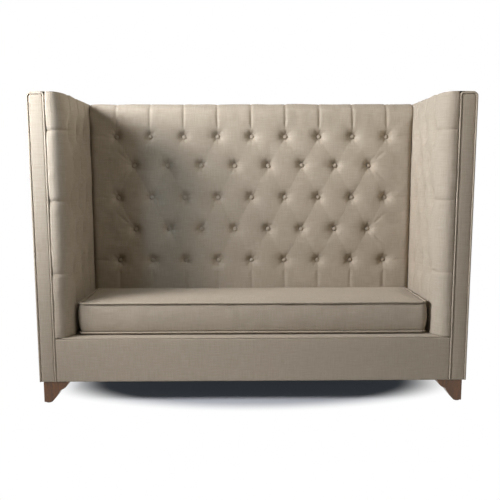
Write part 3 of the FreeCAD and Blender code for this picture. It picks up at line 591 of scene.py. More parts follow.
def panel(name, node, width_axis, face_axis, outward, finish, puff=0.0015, step=0.008, corner=0.0, seed=1,
          both_corners=False):
    """A thin padded panel in its node's box: a flat closed form, rounded and puckered a little at its edges."""
    low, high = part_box(node)
    wide = high[width_axis] - low[width_axis]
    tall = high.z - low.z
    us = np.linspace(0, 1, max(int(wide / step), 4) + 1)
    vs = np.linspace(0, 1, max(int(tall / step), 4) + 1)
    edges = np.array([0.0, 0.0015, edge_round])
    us = np.unique(np.concatenate([us, edges / wide, 1 - edges / wide]))
    vs = np.unique(np.concatenate([vs, edges / tall, 1 - edges / tall]))
    u, v = np.meshgrid(us, vs)
    z = low.z + v * tall
    cut = np.zeros_like(z)
    if corner:
        into = np.clip(z - (high.z - corner), 0, corner)
        cut = corner - np.sqrt(corner ** 2 - into ** 2)
    # Only the outer top corner is cut round, unless both are.
    start = low[width_axis] + (cut if both_corners or high[width_axis] < 0 else 0)
    end = high[width_axis] - (cut if both_corners or low[width_axis] > 0 else 0)
    w = start + u * (end - start)
    edge = np.minimum(np.minimum(w - start, end - w), np.minimum(z - low.z, high.z - z))
    edge = np.clip(edge, 0, None)
    rounded = np.sqrt(np.clip(1 - (1 - np.clip(edge / edge_round, 0, 1)) ** 2, 0, 1))
    rise = puff * (1 - np.exp(-edge / puff_reach)) + edge_drop * (rounded - 1)
    rise += 0.0003 * soft_noise(w, z, 0.11, seed) + 0.00018 * soft_noise(w, z, 0.035, seed + 9)
    rise += 0.00025 * soft_noise(w + z, w - z, 0.018, seed + 5) * np.exp(-edge / 0.01)
    front, back = (high, low) if outward > 0 else (low, high)
    surface = np.zeros(u.shape + (3,))
    surface[..., width_axis] = w
    surface[..., face_axis] = front[face_axis] + outward * rise
    surface[..., 2] = z
    hidden = surface[:, [0, -1]].copy()
    hidden[..., face_axis] = back[face_axis]
    pad(quilt(name, surface, hidden, np.stack([w, z], -1), finish), node)


panel("seat_border", "base_front_cover", 0, 1, -1, linen, puff=0.0012, seed=21)


# Buttoned back
# Linen pulled over thick foam and fibre and held deep by cloth covered buttons, in five staggered rows.
# Soft folds run from button to button, sharp pleats run from the top row over the top rail, and straight
# pleats run from the lowest row down behind the seat.

back_low, back_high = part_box("back_pad")
wing_low, wing_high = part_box("wing_pad_right")
inner_x = wing_low.x
crest = back_low.y
pad_bottom = back_low.z
rail_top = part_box("back_top_rail")[1].z
row_heights = [rail_top - drop for drop in (0.795, 0.629, 0.463, 0.297, 0.149)]
button_seat = 0.0317
end_margin = 0.1347
back_pitch = 2 * (inner_x - end_margin) / 8


def fold(a, b, start, end, width, deep, shallow=None, sharp=0.0015):
    """How deep a fold from one place to another sinks the cloth, deep at its start and shallow at its end."""
    along_a, along_b = end[0] - start[0], end[1] - start[1]
    length = along_a ** 2 + along_b ** 2
    t = np.clip(((a - start[0]) * along_a + (b - start[1]) * along_b) / length, 0, 1)
    off = np.hypot(a - start[0] - t * along_a, b - start[1] - t * along_b)
    off = np.sqrt(off ** 2 + sharp ** 2) - sharp
    depth = deep if shallow is None else deep + (shallow - deep) * t
    return depth * np.exp(-off / width)
def sunk(sink, a, b, folds):
    """The depth of the cloth once folds are laid in it, where the deepest counts."""
    for each in folds:
        sink = np.maximum(sink, fold(a, b, *each))
    return sink


pit_radius, dip_radius, button_reach = 0.0225, 0.044, 0.13
pillow_dip = 0.0127
fold_width, fold_deep, fold_faint = 0.014, 0.0060, 0.0009
pucker_height, pucker_ring, pucker_width = 0.0011, 0.024, 0.015


def buttoned(a, b, buttons, seed, full=1.0, tall=1.0):
    """How far the cloth sinks behind its crest, over coordinates along the pad, for these button places.

    full is how plump the pillows between the buttons stand, and tall how far up and down each dip reaches.
    """
    random = np.random.default_rng(seed)
    pits, puckers, folds = np.zeros_like(a), np.zeros_like(a), np.zeros_like(a)
    dip = pillow_dip * full
    for place_a, place_b in buttons:
        off_a, off_b = a - place_a, b - place_b
        r = np.hypot(off_a, off_b)
        near = r < button_reach
        r, off_a, off_b = r[near], off_a[near], off_b[near]
        long_way = np.hypot(off_a, off_b / tall)
        pits[near] += ((button_seat - dip) * np.exp(-(r / pit_radius) ** 2.2)
                       + dip * np.exp(-(long_way / dip_radius) ** 2))
        count = random.integers(7, 10)
        phase = random.uniform(0, 6.28)
        ring = np.exp(-((r - pucker_ring) / pucker_width) ** 2)
        puckers[near] += pucker_height * np.sin(count * np.arctan2(off_b, off_a) + phase) * ring
    for place in buttons:
        for other in buttons:
            if 0.1 < other[1] - place[1] < 0.2 and abs(other[0] - place[0]) < 0.11:
                strength = random.uniform(0.75, 1.2)
                middle = ((place[0] + other[0]) / 2, (place[1] + other[1]) / 2)
                depths = fold_deep * strength * full ** 2, fold_faint * strength * full ** 3
                folds = sunk(folds, a, b, [(end, middle, fold_width, *depths) for end in (place, other)])
    return (pits ** 2 + folds ** 2) ** 0.5 + puckers


def rolled_profile(points, step):
    """Even places along a smooth line through profile points, and their outward directions."""
    fine = []
    count = len(points)
    points = np.array(points)
    for n in range(count - 1):
        p0, p1 = points[max(n - 1, 0)], points[n]
        p2, p3 = points[n + 1], points[min(n + 2, count - 1)]
        for t in np.linspace(0, 1, 24, endpoint=False):
            fine.append(0.5 * (2 * p1 + (p2 - p0) * t + (2 * p0 - 5 * p1 + 4 * p2 - p3) * t ** 2
                               + (3 * p1 - p0 - 3 * p2 + p3) * t ** 3))
    fine = np.array(fine + [points[-1]])
    run = np.concatenate([[0], np.cumsum(np.hypot(*np.diff(fine, axis=0).T))])
    even = np.linspace(0, run[-1], int(run[-1] / step) + 1)
    line = np.stack([np.interp(even, run, fine[:, n]) for n in (0, 1)], -1)
    heading = np.gradient(line, axis=0)
    heading /= np.linalg.norm(heading, axis=1)[:, None]
    return even, line, heading


step = 0.0042
crest_top = back_high.z + 0.005
back_points = [(crest, height) for height in (pad_bottom, 0.6, 0.9, 1.2, 1.33)]
back_points += [(crest + 0.0005, 1.365), (crest + 0.004, 1.389), (crest + 0.013, 1.407), (crest + 0.030, 1.4195),
                (crest + 0.052, crest_top - 0.001), (crest + 0.085, crest_top), (crest + 0.125, crest_top - 0.002),
                (crest + 0.160, crest_top - 0.006), (back_high.y - 0.0015, crest_top - 0.0095),
                (back_high.y, rail_top + 0.001)]
run, line, heading = rolled_profile(back_points, step)
half = inner_x - 0.0004
columns = np.linspace(-half, half, int(2 * half / step) + 1)
x, s = np.meshgrid(columns, run)
b = s + pad_bottom
top_place = row_heights[-1]
back_buttons = [(back_pitch * (n - 4), h) for h in row_heights[::2] for n in range(9)]
back_buttons += [(back_pitch * (n - 3.5), h) for h in row_heights[1::2] for n in range(8)]
sink = buttoned(x, b, back_buttons, 11)
random = np.random.default_rng(5)
end_b = pad_bottom + run[-1]
pleat_top = top_place + 0.155
folds = []
for n in range(9):
    place_x = back_pitch * (n - 4)
    lean_x = place_x + random.uniform(-0.004, 0.004)
    folds += [((place_x, top_place), (lean_x, pleat_top), 0.0062, 0.0090, 0.0045, 0.0006),
              ((lean_x, pleat_top), (lean_x, end_b - 0.02), 0.006, 0.0040, 0.0008, 0.0006),
              ((place_x, row_heights[0]), (lean_x, pad_bottom), 0.010, 0.0055, 0.0025)]
for way in (-1, 1):
    end_x = way * back_pitch * 4
    folds += [((end_x, h), (way * half, h + 0.004), 0.010, 0.0065, 0.0015) for h in row_heights[::2]]
    folds += [((way * back_pitch * 3.5, h), (end_x, h + rise * 0.08), 0.010, 0.0075, 0.0015)
              for h in row_heights[1::2] for rise in (-1, 1)]
sink = sunk(sink, x, b, folds)
edge = half - np.abs(x)
# The cover is tucked in beside the wings, and less so where it rolls over the rail.
side_tuck, tuck_lost, tuck_width, roll_start = 0.016, 0.013, 0.010, 1.30
sink += ((side_tuck - tuck_lost * np.clip((b - roll_start) / 0.06, 0, 1))
         * np.exp(-(edge / tuck_width) ** 1.2))
fade = np.clip((b - pad_bottom) / 0.03, 0, 1)
sink += (0.0016 * soft_noise(x, b, 0.085, 31) + 0.0009 * soft_noise(x, b, 0.033, 32) + 0.0018) * fade
sink += 0.0005 * soft_noise(x * 0.35, b, 0.016, 33)
rear = np.clip((run - (run[-1] - 0.02)) / 0.02, 0, 1)[:, None]
sink *= 1 - rear
out = np.stack([np.zeros(len(run)), -heading[:, 1], heading[:, 0]], -1)
face = np.stack([x, np.broadcast_to(line[:, :1], x.shape), np.broadcast_to(line[:, 1:], x.shape)], -1)
face = face - out[:, None, :] * sink[..., None]
lining_front = 0.2757
hidden = np.zeros((len(run), 2, 3))
for side, end in ((0, -half), (1, half)):
    hidden[:, side, 0] = end
    hidden[:, side, 1] = np.maximum(line[:, 0], lining_front)
    hidden[:, side, 2] = np.minimum(line[:, 1], rail_top + 0.0004)
pad(quilt("buttoned_back", face, hidden, np.stack([x, b], -1), linen), "back_pad")


# Buttoned wings
# The same linen and foam on each side, buttoned in the same rows. The cover rolls round the front post into the
# seam beside the front facing, and over the top rail to the seam on the outside.

pad_back, plan_rear, outer_edge = 0.9205, 0.300, 0.9893
plan_points = [(inner_x, y) for y in (plan_rear, 0.16, 0.05, -0.1, -0.2)]
plan_points += [(inner_x + off, y) for off, y in (
    (0.0003, -0.245), (0.0035, -0.276), (0.0105, -0.302), (0.0215, -0.324), (0.0355, -0.3395), (0.0500, -0.3475),
    (0.0620, -0.3500), (0.0740, -0.3498), (0.0790, -0.3480), (0.0812, -0.3430), (0.0815, -0.3380))]
plan_run, plan, plan_heading = rolled_profile(plan_points, step)
wide_row, narrow_row = (-0.222, -0.072, 0.078), (-0.147, 0.003)
wing_buttons = [(y, h) for h in row_heights[::2] for y in wide_row]
wing_buttons += [(y, h) for h in row_heights[1::2] for y in narrow_row]

# Each level of the face is the plan line moved in by the roll over the top, and the last levels fan out to the
# seam on the outside. A row is a level's place along the cloth, its height, how far it is moved in, and its fan.
upright_top, crown, roll_inset = 1.403, wing_high.z + 0.0035, 0.015
rows = [(z, z, 0.0, 0.0) for z in np.arange(pad_bottom, upright_top, step)]
for angle in np.linspace(0, math.pi / 2, 15)[1:]:
    rows.append((rows[-1][0] + step, upright_top + (crown - upright_top) * math.sin(angle),
                 roll_inset * (1 - math.cos(angle)), 0.0))
for t in np.linspace(0, 1, 22)[1:]:
    rows.append((rows[-1][0] + step, crown - 0.0012 * t ** 3, roll_inset, t))
rows.append((rows[-1][0] + 0.004, crown - 0.008, roll_inset, 1.04))
levels, lift, inset, fan = (column[:, None] for column in np.array(rows).T)
over_top, fanned = np.clip(inset / roll_inset, 0, 1), np.clip(fan, 0, 1)

plan_x, plan_y = plan[None, :, 0], plan[None, :, 1]
normal_x, normal_y = plan_heading[None, :, 1], -plan_heading[None, :, 0]
plan_a = plan_rear - plan_run[None, :]
turning = np.clip((plan_heading[None, :, 0] - 0.35) / 0.6, 0, 1)
turning = turning * turning * (3 - 2 * turning)
moved = inset * (1 - 0.93 * turning)
px = plan_x - normal_x * moved
py = plan_y - normal_y * moved
rear_y = wing_high.y - 0.0005
outer_y = np.interp(plan_run, [0, plan_run[-1]], [rear_y, -0.3352])[None, :]
px = px + (outer_edge - px) * fanned
py = py + (outer_y - py) * fanned ** 0.8
toward_rear = np.clip((plan_y + 0.35) / 0.5, 0, 1)
rear_rise = 0.006
pz = lift + rear_rise * toward_rear * np.clip((lift - roll_start) / 0.10, 0, 1)
rear_run = np.clip((plan_y - 0.17) / 0.13, 0, 1)
py = py + rear_run * over_top * (rear_y - plan_rear) * (1 - fanned)

a, b = plan_a + 0 * levels, levels + 0 * plan_a
end_a = plan_a.min()
folds = []
for h in row_heights[::2]:
    folds += [((wide_row[0], h), (end_a, h - 0.004), 0.009, 0.0115, 0.0045),
              ((wide_row[-1], h), (0.163, h), 0.009, 0.0085, 0.003)]
for h in row_heights[1::2]:
    folds += [((narrow_row[-1], h), (wide_row[-1], h + rise * 0.08), 0.010, 0.0075, 0.0015) for rise in (-1, 1)]
for y in wide_row:
    folds += [((y, top_place), (y, top_place + 0.16), 0.0075, 0.0135, 0.0080, 0.0006),
              ((y, top_place + 0.16), (y, top_place + 0.24), 0.006, 0.0080, 0.001, 0.0006),
              ((y, row_heights[0]), (y - 0.002, pad_bottom), 0.010, 0.0110, 0.005)]
sink = sunk(buttoned(a, b, wing_buttons, 12, full=1.6, tall=1.7), a, b, folds)
sink *= np.clip((0.17 - plan_a) / 0.02, 0, 1)
sink += (0.0014 * soft_noise(a, b, 0.08, 41) + 0.0008 * soft_noise(a, b, 0.03, 42) + 0.0015)
# Away from its edges the cover stands plumper than the CAD pad, and less so in the pits.
plump_most, cushion_top = 0.009, 0.49
plump = plump_most * np.clip((plan_a - end_a - 0.02) / 0.12, 0, 1) * np.clip((b - cushion_top) / 0.06, 0, 1)
plump = plump * np.clip((0.164 - plan_a) / 0.024, 0, 1) ** 0.6 * np.clip((1.40 - b) / 0.06, 0, 1)
plump = plump * np.clip(1 - sink / 0.022, 0, 1)
near_piping = np.clip((plan_a - end_a) / 0.012, 0, 1)
sink = sink * (0.15 + 0.85 * near_piping) * (1 - fanned * 0.85) - plump

tilt = over_top * math.pi / 2
out_x, out_y, out_z = normal_x * np.cos(tilt), normal_y * np.cos(tilt), np.sin(tilt) + 0 * normal_x
face = np.stack([px - out_x * sink, py - out_y * sink, pz - out_z * sink], -1)
above_rail = lift[:, 0] > rail_top
hidden = np.zeros((len(levels), 2, 3))
hidden[:, :, 0] = np.where(above_rail, np.maximum(pad_back, px[:, -1] - 0.004), pad_back)[:, None]
hidden[:, 0, 1] = np.where(above_rail, wing_high.y - 0.001, 0.2755)
hidden[:, 1, 1] = -0.3347
hidden[:, :, 2] = np.minimum(lift, rail_top + 0.0004)
for side, way in (("right", 1), ("left", -1)):
    mirror = np.array([way, 1, 1])
    made = quilt("buttoned_wing_" + side, face * mirror, hidden * mirror, np.stack([a, b], -1) * [way, 1], linen)
    pad(made, "wing_pad_" + side)


# Covered buttons
# Pressed metal shells covered with the linen, 24 mm across, drawn into the foam with waxed twine through the
# back. Each is a low dome with the cloth tucked under its rim in small folds.

button_tree, given = node_group("covered_buttons", [
    ("Radius", "NodeSocketFloat", 0.012), ("Height", "NodeSocketFloat", 0.009), ("Tucks", "NodeSocketInt", 14),
    ("Seed", "NodeSocketInt", 4)])
ball = add(button_tree, "GeometryNodeMeshUVSphere", {"Segments": 28, "Rings": 14, "Radius": 1.0})
spot = add(button_tree, "GeometryNodeInputPosition").outputs[0]
apart = add(button_tree, "ShaderNodeSeparateXYZ", {0: spot}).outputs
angle = calculated(button_tree, "ARCTAN2", apart[1], apart[0])
tucks = calculated(button_tree, "SINE", calculated(button_tree, "MULTIPLY", angle, given["Tucks"]))
low_part = ranged(button_tree, apart[2], 0.55, -0.1, 0.0, 0.045)
tucks = calculated(button_tree, "ADD", calculated(button_tree, "MULTIPLY", tucks, low_part), 1.0)
wide = calculated(button_tree, "MULTIPLY", tucks, given["Radius"])
scale = add(button_tree, "ShaderNodeCombineXYZ", {0: wide, 1: wide, 2: given["Height"]})
moved = add(button_tree, "ShaderNodeVectorMath", {0: spot, 1: scale.outputs[0]}, operation="MULTIPLY")
dome = add(button_tree, "GeometryNodeSetPosition", {"Geometry": ball.outputs["Mesh"], "Position": moved.outputs[0]})
smooth = add(button_tree, "GeometryNodeSetShadeSmooth", {0: cloth_kept(button_tree, dome.outputs[0], spot)})
spin = add(button_tree, "FunctionNodeRandomValue",
           {"Min": (-0.14, -0.14, -3.1), "Max": (0.14, 0.14, 3.1), "Seed": given["Seed"]}, data_type="FLOAT_VECTOR")
put = laid_along(button_tree, given["Geometry"], smooth.outputs[0], "Z", spin.outputs[0])
end_tree(button_tree, put, linen)

proud = 0.0035
button_height = 0.0062


def button_set(name, node, places, outward, seed):
    """Covered buttons at places, in place of their node."""
    values = {"Height": button_height, "Seed": seed}
    pad(grown(name, places, button_tree, values, [outward] * len(places)), node)


places = [(place_x, crest + button_seat - proud, height) for place_x, height in back_buttons]
button_set("back_button_set", "back_buttons", places, (0, -1, 0), 4)
for side, way in (("right", 1), ("left", -1)):
    places = [(way * (inner_x + button_seat - proud), place_y, height) for place_y, height in wing_buttons]
    button_set("wing_button_set_" + side, "wing_buttons_" + side, places, (-way, 0, 0), 7 + way)


# Facings and outside panels
# Long front facings over the posts, outside wings and outside back, all of the linen over thin felt, sewn to the
# piping in front and closed with hidden tacking strips behind.

for side, way in (("left", -1), ("right", 1)):
    panel("front_facing_" + side, "facing_" + side, 0, 1, -1, linen, puff=0.0020, step=0.005, corner=0.012, seed=51)
    panel("outside_wing_" + side, "outer_side_" + side, 1, 0, way, linen, puff=0.0014, seed=61)
panel("outside_back", "outer_back", 0, 1, 1, linen, puff=0.0016, seed=71, step=0.012, corner=0.012, both_corners=True)


# Piping
# Cord 7 mm thick wrapped in a bias strip of the linen, 10 mm over all, sewn into the seams round the facings and
# the outside back. The strip's weave runs slantwise, and the seam pulls it a little at every stitch.

def rounded_route(corners, bends, closed=False, step=0.007):
    """Even places along straight runs, with a round bend at each inner corner."""
    corners = [Vector(c) for c in corners]
    count = len(corners)
    dense = []
    for n, here in enumerate(corners):
        if not closed and n in (0, count - 1):
            dense.append(here)
            continue
        before = (corners[n - 1] - here).normalized()
        after = (corners[(n + 1) % count] - here).normalized()
        half_angle = before.angle(after) / 2
        bend = bends[n % len(bends)]
        back = bend / math.tan(half_angle)
        centre = here + (before + after).normalized() * (bend / math.sin(half_angle))
        start, end = here + before * back - centre, here + after * back - centre
        for t in np.linspace(0, 1, 12):
            dense.append(centre + start.lerp(end, t).normalized() * bend)
    if closed:
        dense.append(dense[0])
    dense = np.array([tuple(p) for p in dense])
    run = np.concatenate([[0], np.cumsum(np.linalg.norm(np.diff(dense, axis=0), axis=1))])
    keep = np.concatenate([[True], np.diff(run) > 1e-7])
    dense, run = dense[keep], run[keep]
    even = np.linspace(0, run[-1], int(run[-1] / step) + 1)
    return np.stack([np.interp(even, run, dense[:, n]) for n in range(3)], -1), even


piping_radius = 0.0049
piping_sides = 12


def piping(name, route, run, node, body, seed, closed=False):
    """A piped seam: a tube with ring after ring along its route, tightened a little at the stitches."""
    radius, sides = piping_radius, piping_sides
    if closed:
        route = route[:-1]
    count = len(route)
    heading = np.roll(route, -1, 0) - np.roll(route, 1, 0)
    if not closed:
        heading[0], heading[-1] = route[1] - route[0], route[-1] - route[-2]
    heading /= np.linalg.norm(heading, axis=1)[:, None]
    guide = np.cross(heading[0], (0, 1, 0.013))
    guide /= np.linalg.norm(guide)
    first = np.zeros_like(heading)
    for n in range(count):
        guide = guide - heading[n] * guide.dot(heading[n])
        guide /= np.linalg.norm(guide)
        first[n] = guide
    second = np.cross(heading, first)
    places = run[:count]
    thick = radius * (0.975 + 0.02 * soft_noise(places, places * 0, 0.019, seed)
                      + 0.015 * soft_noise(places, places * 0, 0.007, seed + 1))
    angles = np.linspace(0, 2 * math.pi, sides, endpoint=False)
    rings = (route[:, None] + thick[:, None, None] * (first[:, None] * np.cos(angles)[None, :, None]
             + second[:, None] * np.sin(angles)[None, :, None]))
    index = np.arange(count * sides).reshape(count, sides)
    faces, laid = [], []
    spans = count if closed else count - 1
    for n in range(spans):
        m = (n + 1) % count
        for k in range(sides):
            j = (k + 1) % sides
            faces.append([int(index[n, k]), int(index[n, j]), int(index[m, j]), int(index[m, k])])
            ahead = places[n] + (run[n + 1] - run[n])
            for p, c in ((places[n], k), (places[n], k + 1), (ahead, k + 1), (ahead, k)):
                q = c * 2 * math.pi * radius / sides
                laid.append(((p + q) * 0.7071, (p - q) * 0.7071))
    if not closed:
        faces += [[int(n) for n in index[0, ::-1]], [int(n) for n in index[-1]]]
        laid += [(0.0, 0.0)] * (2 * sides)
    made = plain_mesh(name, rings.reshape(-1, 3), faces)
    close_form(made.data, laid, linen)
    pad(made, node, body)


seam_x, seam_inner, seam_y, seam_top, seam_low = 0.995, 0.924, 0.345, 1.415, 0.1032
for side, way in (("left", -1), ("right", 1)):
    outer, inner = way * seam_x, way * seam_inner
    route, run = rounded_route([(outer, -seam_y, seam_low), (outer, -seam_y, seam_top), (inner, -seam_y, seam_top),
                                (inner, -seam_y, seam_low)], [0, 0.012, 0.005, 0])
    piping("facing_piping_tube_" + side, route, run, "facing_piping_" + side, "settee_frame", 81)
route, run = rounded_route([(-seam_x, seam_y, seam_low), (-seam_x, seam_y, seam_top), (seam_x, seam_y, seam_top),
                            (seam_x, seam_y, seam_low)], [0, 0.015, 0.015, 0])
piping("outside_back_piping_tube", route, run, "outer_back_piping", "settee_frame", 91)


# Dust cover
# Black bonded cambric stapled flat to the underside of the rails, over the ends of the leg bolts.

lining("dust_cover_cloth", "dust_cover", 2, 0.0008)

staple_tree, given = node_group("upholstery_staples", [
    ("Crown", "NodeSocketFloat", 0.010), ("Wire", "NodeSocketFloat", 0.0011)])
size = add(staple_tree, "ShaderNodeCombineXYZ", {0: given["Crown"], 1: given["Wire"], 2: given["Wire"]})
wire = add(staple_tree, "GeometryNodeMeshCube",
           {"Size": size.outputs[0], "Vertices X": 4, "Vertices Y": 2, "Vertices Z": 2})
end_tree(staple_tree, laid_along(staple_tree, given["Geometry"], wire.outputs[0], "X"), zinc)
staple_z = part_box("dust_cover")[0].z - 0.0004
places = [(x, y, staple_z) for x in np.arange(-0.84, 0.841, 0.06) for y in (-0.322, 0.322)]
ways = [(1, 0.12 * math.sin(n * 2.1), 0) for n in range(len(places))]
more = [(x, y, staple_z) for x in (-0.976, 0.976) for y in np.arange(-0.20, 0.201, 0.05)]
ways += [(0.12 * math.sin(n * 1.7), 1, 0) for n in range(len(more))]
staples = grown("dust_cover_staples", places + more, staple_tree, {}, ways)
tag(staples, "settee_frame", slot="steel")


# Legs
# Four bracket legs sawn from beech, shaped to an ogee on their two inner sides, stained mid walnut brown and
# finished with satin lacquer. The stain darkens the long grain, and the sharp edges are eased and rub paler.

walnut, tree, shader = material("walnut_stained_beech")
place = object_place(tree)
lengthwise = stretched(tree, place, (95.0, 95.0, 9.0), Rotation=(0.05, 0.09, 0.0))
grain = noise(tree, lengthwise, 1.0, 6.0, {"Roughness": 0.62, "Distortion": 0.4})
pores = ranged(tree, noise(tree, stretched(tree, place, (900.0, 900.0, 70.0)), 1.0, 2.0), 0.56, 0.72)
tone = add(tree, "ShaderNodeValToRGB", {0: grain})
for stop, position, colour in zip(tone.color_ramp.elements, (0.30, 0.72), ("#452806", "#74440d")):
    stop.position = position
    stop.color = linear(colour)
worn = add(tree, "ShaderNodeAttribute", attribute_name="eased_edge").outputs["Fac"]
body = blended(tree, pores, tone.outputs[0], "#361d0c")
body = blended(tree, ranged(tree, worn, 0.2, 1.0, 0.0, 0.35), body, "#b98a5c")
end_shader(tree, shader, body, ranged(tree, grain, to_low=0.40, to_high=0.30), (pores, -0.25, 0.0004),
           {"Coat Weight": 0.35, "Coat Roughness": 0.22})


def eased_copy(name, node, finish, body, slot, ease):
    """A copy of a rigid CAD node with its sharp edges eased, in its place."""
    made = bpy.data.objects.new(name, nodes[node].data.copy())
    scene.collection.objects.link(made)
    form = bmesh.new()
    form.from_mesh(made.data)
    layer = form.verts.layers.float.new("eased_edge")
    bmesh.ops.remove_doubles(form, verts=form.verts, dist=1e-6)
    bmesh.ops.dissolve_limit(form, angle_limit=0.01, verts=form.verts, edges=form.edges)
    sharp = [e for e in form.edges if len(e.link_faces) == 2 and e.calc_face_angle() > 0.6]
    eased = bmesh.ops.bevel(form, geom=sharp, offset=ease, segments=3, profile=0.5, affect="EDGES")
    # Only the points inside an eased edge rub pale.
    for vertex in eased["verts"]:
        widths = [min(e.calc_length() for e in f.edges) for f in vertex.link_faces]
        vertex[layer] = 1.0 if max(widths) < 2 * ease and all(len(f.verts) < 5 for f in vertex.link_faces) else 0.0
    bmesh.ops.recalc_face_normals(form, faces=form.faces)
    form.to_mesh(made.data)
    form.free()
    made.data.polygons.foreach_set("use_smooth", [True] * len(made.data.polygons))
    made.data.materials.clear()
    made.data.materials.append(finish)
    made.modifiers.new("flat_faces", "WEIGHTED_NORMAL").keep_sharp = True
    tag(made, body, node, slot=slot)


for node in ("leg_front_left", "leg_front_right", "leg_rear_left", "leg_rear_right"):
    eased_copy(node + "_shaped", node, walnut, "settee_frame", "leg_wood", 0.0018)


# Glides under the legs
# Moulded grey nylon discs, nailed on. Nylon has a dull waxy face, scuffed by the floor.

nylon, tree, shader = material("moulded_grey_nylon")
scuff = noise(tree, object_place(tree), 500.0, 3.0)
end_shader(tree, shader, blended(tree, scuff, "#55534f", "#77746e"), 0.55)
dress("leg_glides", nylon)


# Seat cushion
# One long loose cushion: a block of soft foam wrapped in fibre, in a boxed linen cover with piping along both
# seams. The foam crowns the top and bulges the boxing, and the closed zip runs along the back.

foam, tree, shader = material("cut_polyurethane_foam")
pores = cells(tree, object_place(tree), 650.0)
end_shader(tree, shader, blended(tree, pores, "#e9dfba", "#cfc294"), 0.95, (pores, 0.6, 0.001))

cover_low, cover_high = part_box("cushion_cover")
seam_front, seam_rear = -0.283, 0.153
seam_bottom, seam_crown = 0.3243, 0.4613
seam_end, seam_corner = 0.815, 0.024
seam_middle, seam_half = (seam_front + seam_rear) / 2, (seam_rear - seam_front) / 2


def rounded_block(name, low, high, corner, ease):
    """A block with round upright corners and eased edges."""
    form = bmesh.new()
    bmesh.ops.create_cube(form, size=1.0)
    for vertex in form.verts:
        vertex.co = [(low[n] + high[n]) / 2 + vertex.co[n] * (high[n] - low[n]) for n in range(3)]
    upright = [e for e in form.edges if abs(e.verts[0].co.z - e.verts[1].co.z) > 1e-4]
    bmesh.ops.bevel(form, geom=upright, offset=corner, segments=6, profile=0.5, affect="EDGES")
    if ease:
        level = [e for e in form.edges if abs(e.verts[0].co.z - e.verts[1].co.z) < 1e-6 and e.calc_face_angle() > 1.0]
        bmesh.ops.bevel(form, geom=level, offset=ease, segments=3, profile=0.5, affect="EDGES")
    mesh = bpy.data.meshes.new(name)
    form.to_mesh(mesh)
    form.free()
    made = bpy.data.objects.new(name, mesh)
    scene.collection.objects.link(made)
    return made


core = rounded_block("cushion_foam", (-0.812, -0.272, 0.3165), (0.812, 0.141, 0.462), 0.022, 0.010)
core.data.materials.append(foam)
tag(core, "seat_cushion", "cushion_core", slot="foam")

cover = rounded_block("cushion_cover_cloth", (-seam_end, seam_front, seam_bottom), (seam_end, seam_rear, seam_crown),
                      seam_corner, 0)
remesh = cover.modifiers.new("even_cloth", "REMESH")
remesh.mode = "VOXEL"
remesh.voxel_size = 0.0075
rest = vectors(applied(cover).vertices)


def outline_gap(points):
    """How far inside the cushion's plan outline each point lies."""
    ax = np.abs(points[:, 0]) - (seam_end - seam_corner)
    ay = np.abs(points[:, 1] - seam_middle) - (seam_half - seam_corner)
    outside = np.hypot(np.maximum(ax, 0), np.maximum(ay, 0))
    inside = np.minimum(np.maximum(ax, ay), 0)
    return seam_corner - outside - inside


shape = rest
moments, seam_width = 20, 0.006
level = np.minimum(np.abs(rest[:, 2] - seam_crown), np.abs(rest[:, 2] - seam_bottom))
held = (outline_gap(rest) < seam_width) & (level < seam_width)
pins = cover.vertex_groups.new(name="sewn_seams")
pins.add([int(n) for n in np.nonzero(held)[0]], 1.0, "REPLACE")
cloth = cover.modifiers.new("filling", "CLOTH")
cloth.settings.quality = 5
cloth.settings.mass = 0.3
cloth.settings.tension_stiffness = 12
cloth.settings.compression_stiffness = 12
cloth.settings.shear_stiffness = 4
cloth.settings.bending_stiffness = 0.6
cloth.settings.use_pressure = True
cloth.settings.uniform_pressure_force = 4.0
cloth.settings.vertex_group_mass = "sewn_seams"
cloth.settings.effector_weights.gravity = 0.0
cloth.collision_settings.use_collision = False
cloth.point_cache.frame_start = 1
cloth.point_cache.frame_end = moments
for moment in range(1, moments + 1):
    scene.frame_set(moment)
shape = vectors(cover.evaluated_get(bpy.context.evaluated_depsgraph_get()).to_mesh().vertices)
cover.modifiers.clear()
scene.frame_set(1)
moved = shape - rest
far = np.linalg.norm(moved, axis=1)
most_moved = 0.026
moved *= np.where(far > 1e-9, most_moved * np.tanh(far / most_moved) / np.maximum(far, 1e-9), 0)[:, None]
cover.data.vertices.foreach_set("co", (rest + moved).ravel())
cover.data.update()
smoother = cover.modifiers.new("finer_cloth", "SUBSURF")
smoother.levels = smoother.render_levels = 1
fine = applied(cover)
points, normals = vectors(fine.vertices), vectors(fine.vertices, "normal")

# Most of the crown follows the foam's own, the bottom is drawn up at its seam, and the cloth keeps small ripples.
crown_share, side_share = 0.85, 0.8
crown_rise, crown_reach, bottom_lift, bottom_reach = 0.019, 0.12, 0.012, 0.03
top_side = points[:, 2] > (seam_bottom + seam_crown) / 2
gap = outline_gap(points)
crown_height = seam_crown + crown_rise * np.sin(np.clip(gap / crown_reach, 0, 1) * math.pi / 2) ** 0.8
bottom_height = np.maximum(cover_low.z + 0.0003, seam_bottom - bottom_lift * np.clip(gap / bottom_reach, 0, 1))
facing_up = np.clip((np.abs(normals[:, 2]) - 0.5) / 0.4, 0, 1)
ripple = 0.0011 * soft_noise(points[:, 0], points[:, 1] + points[:, 2], 0.09, 101)
ripple += 0.0006 * soft_noise(points[:, 0], points[:, 1] + points[:, 2], 0.035, 102)
target = np.where(top_side, np.minimum(crown_height, cover_high.z - 0.0012) + ripple, bottom_height)
points[:, 2] += (target - points[:, 2]) * facing_up * crown_share
points[:, 1] += ripple * (1 - facing_up) * side_share * np.sign(normals[:, 1])

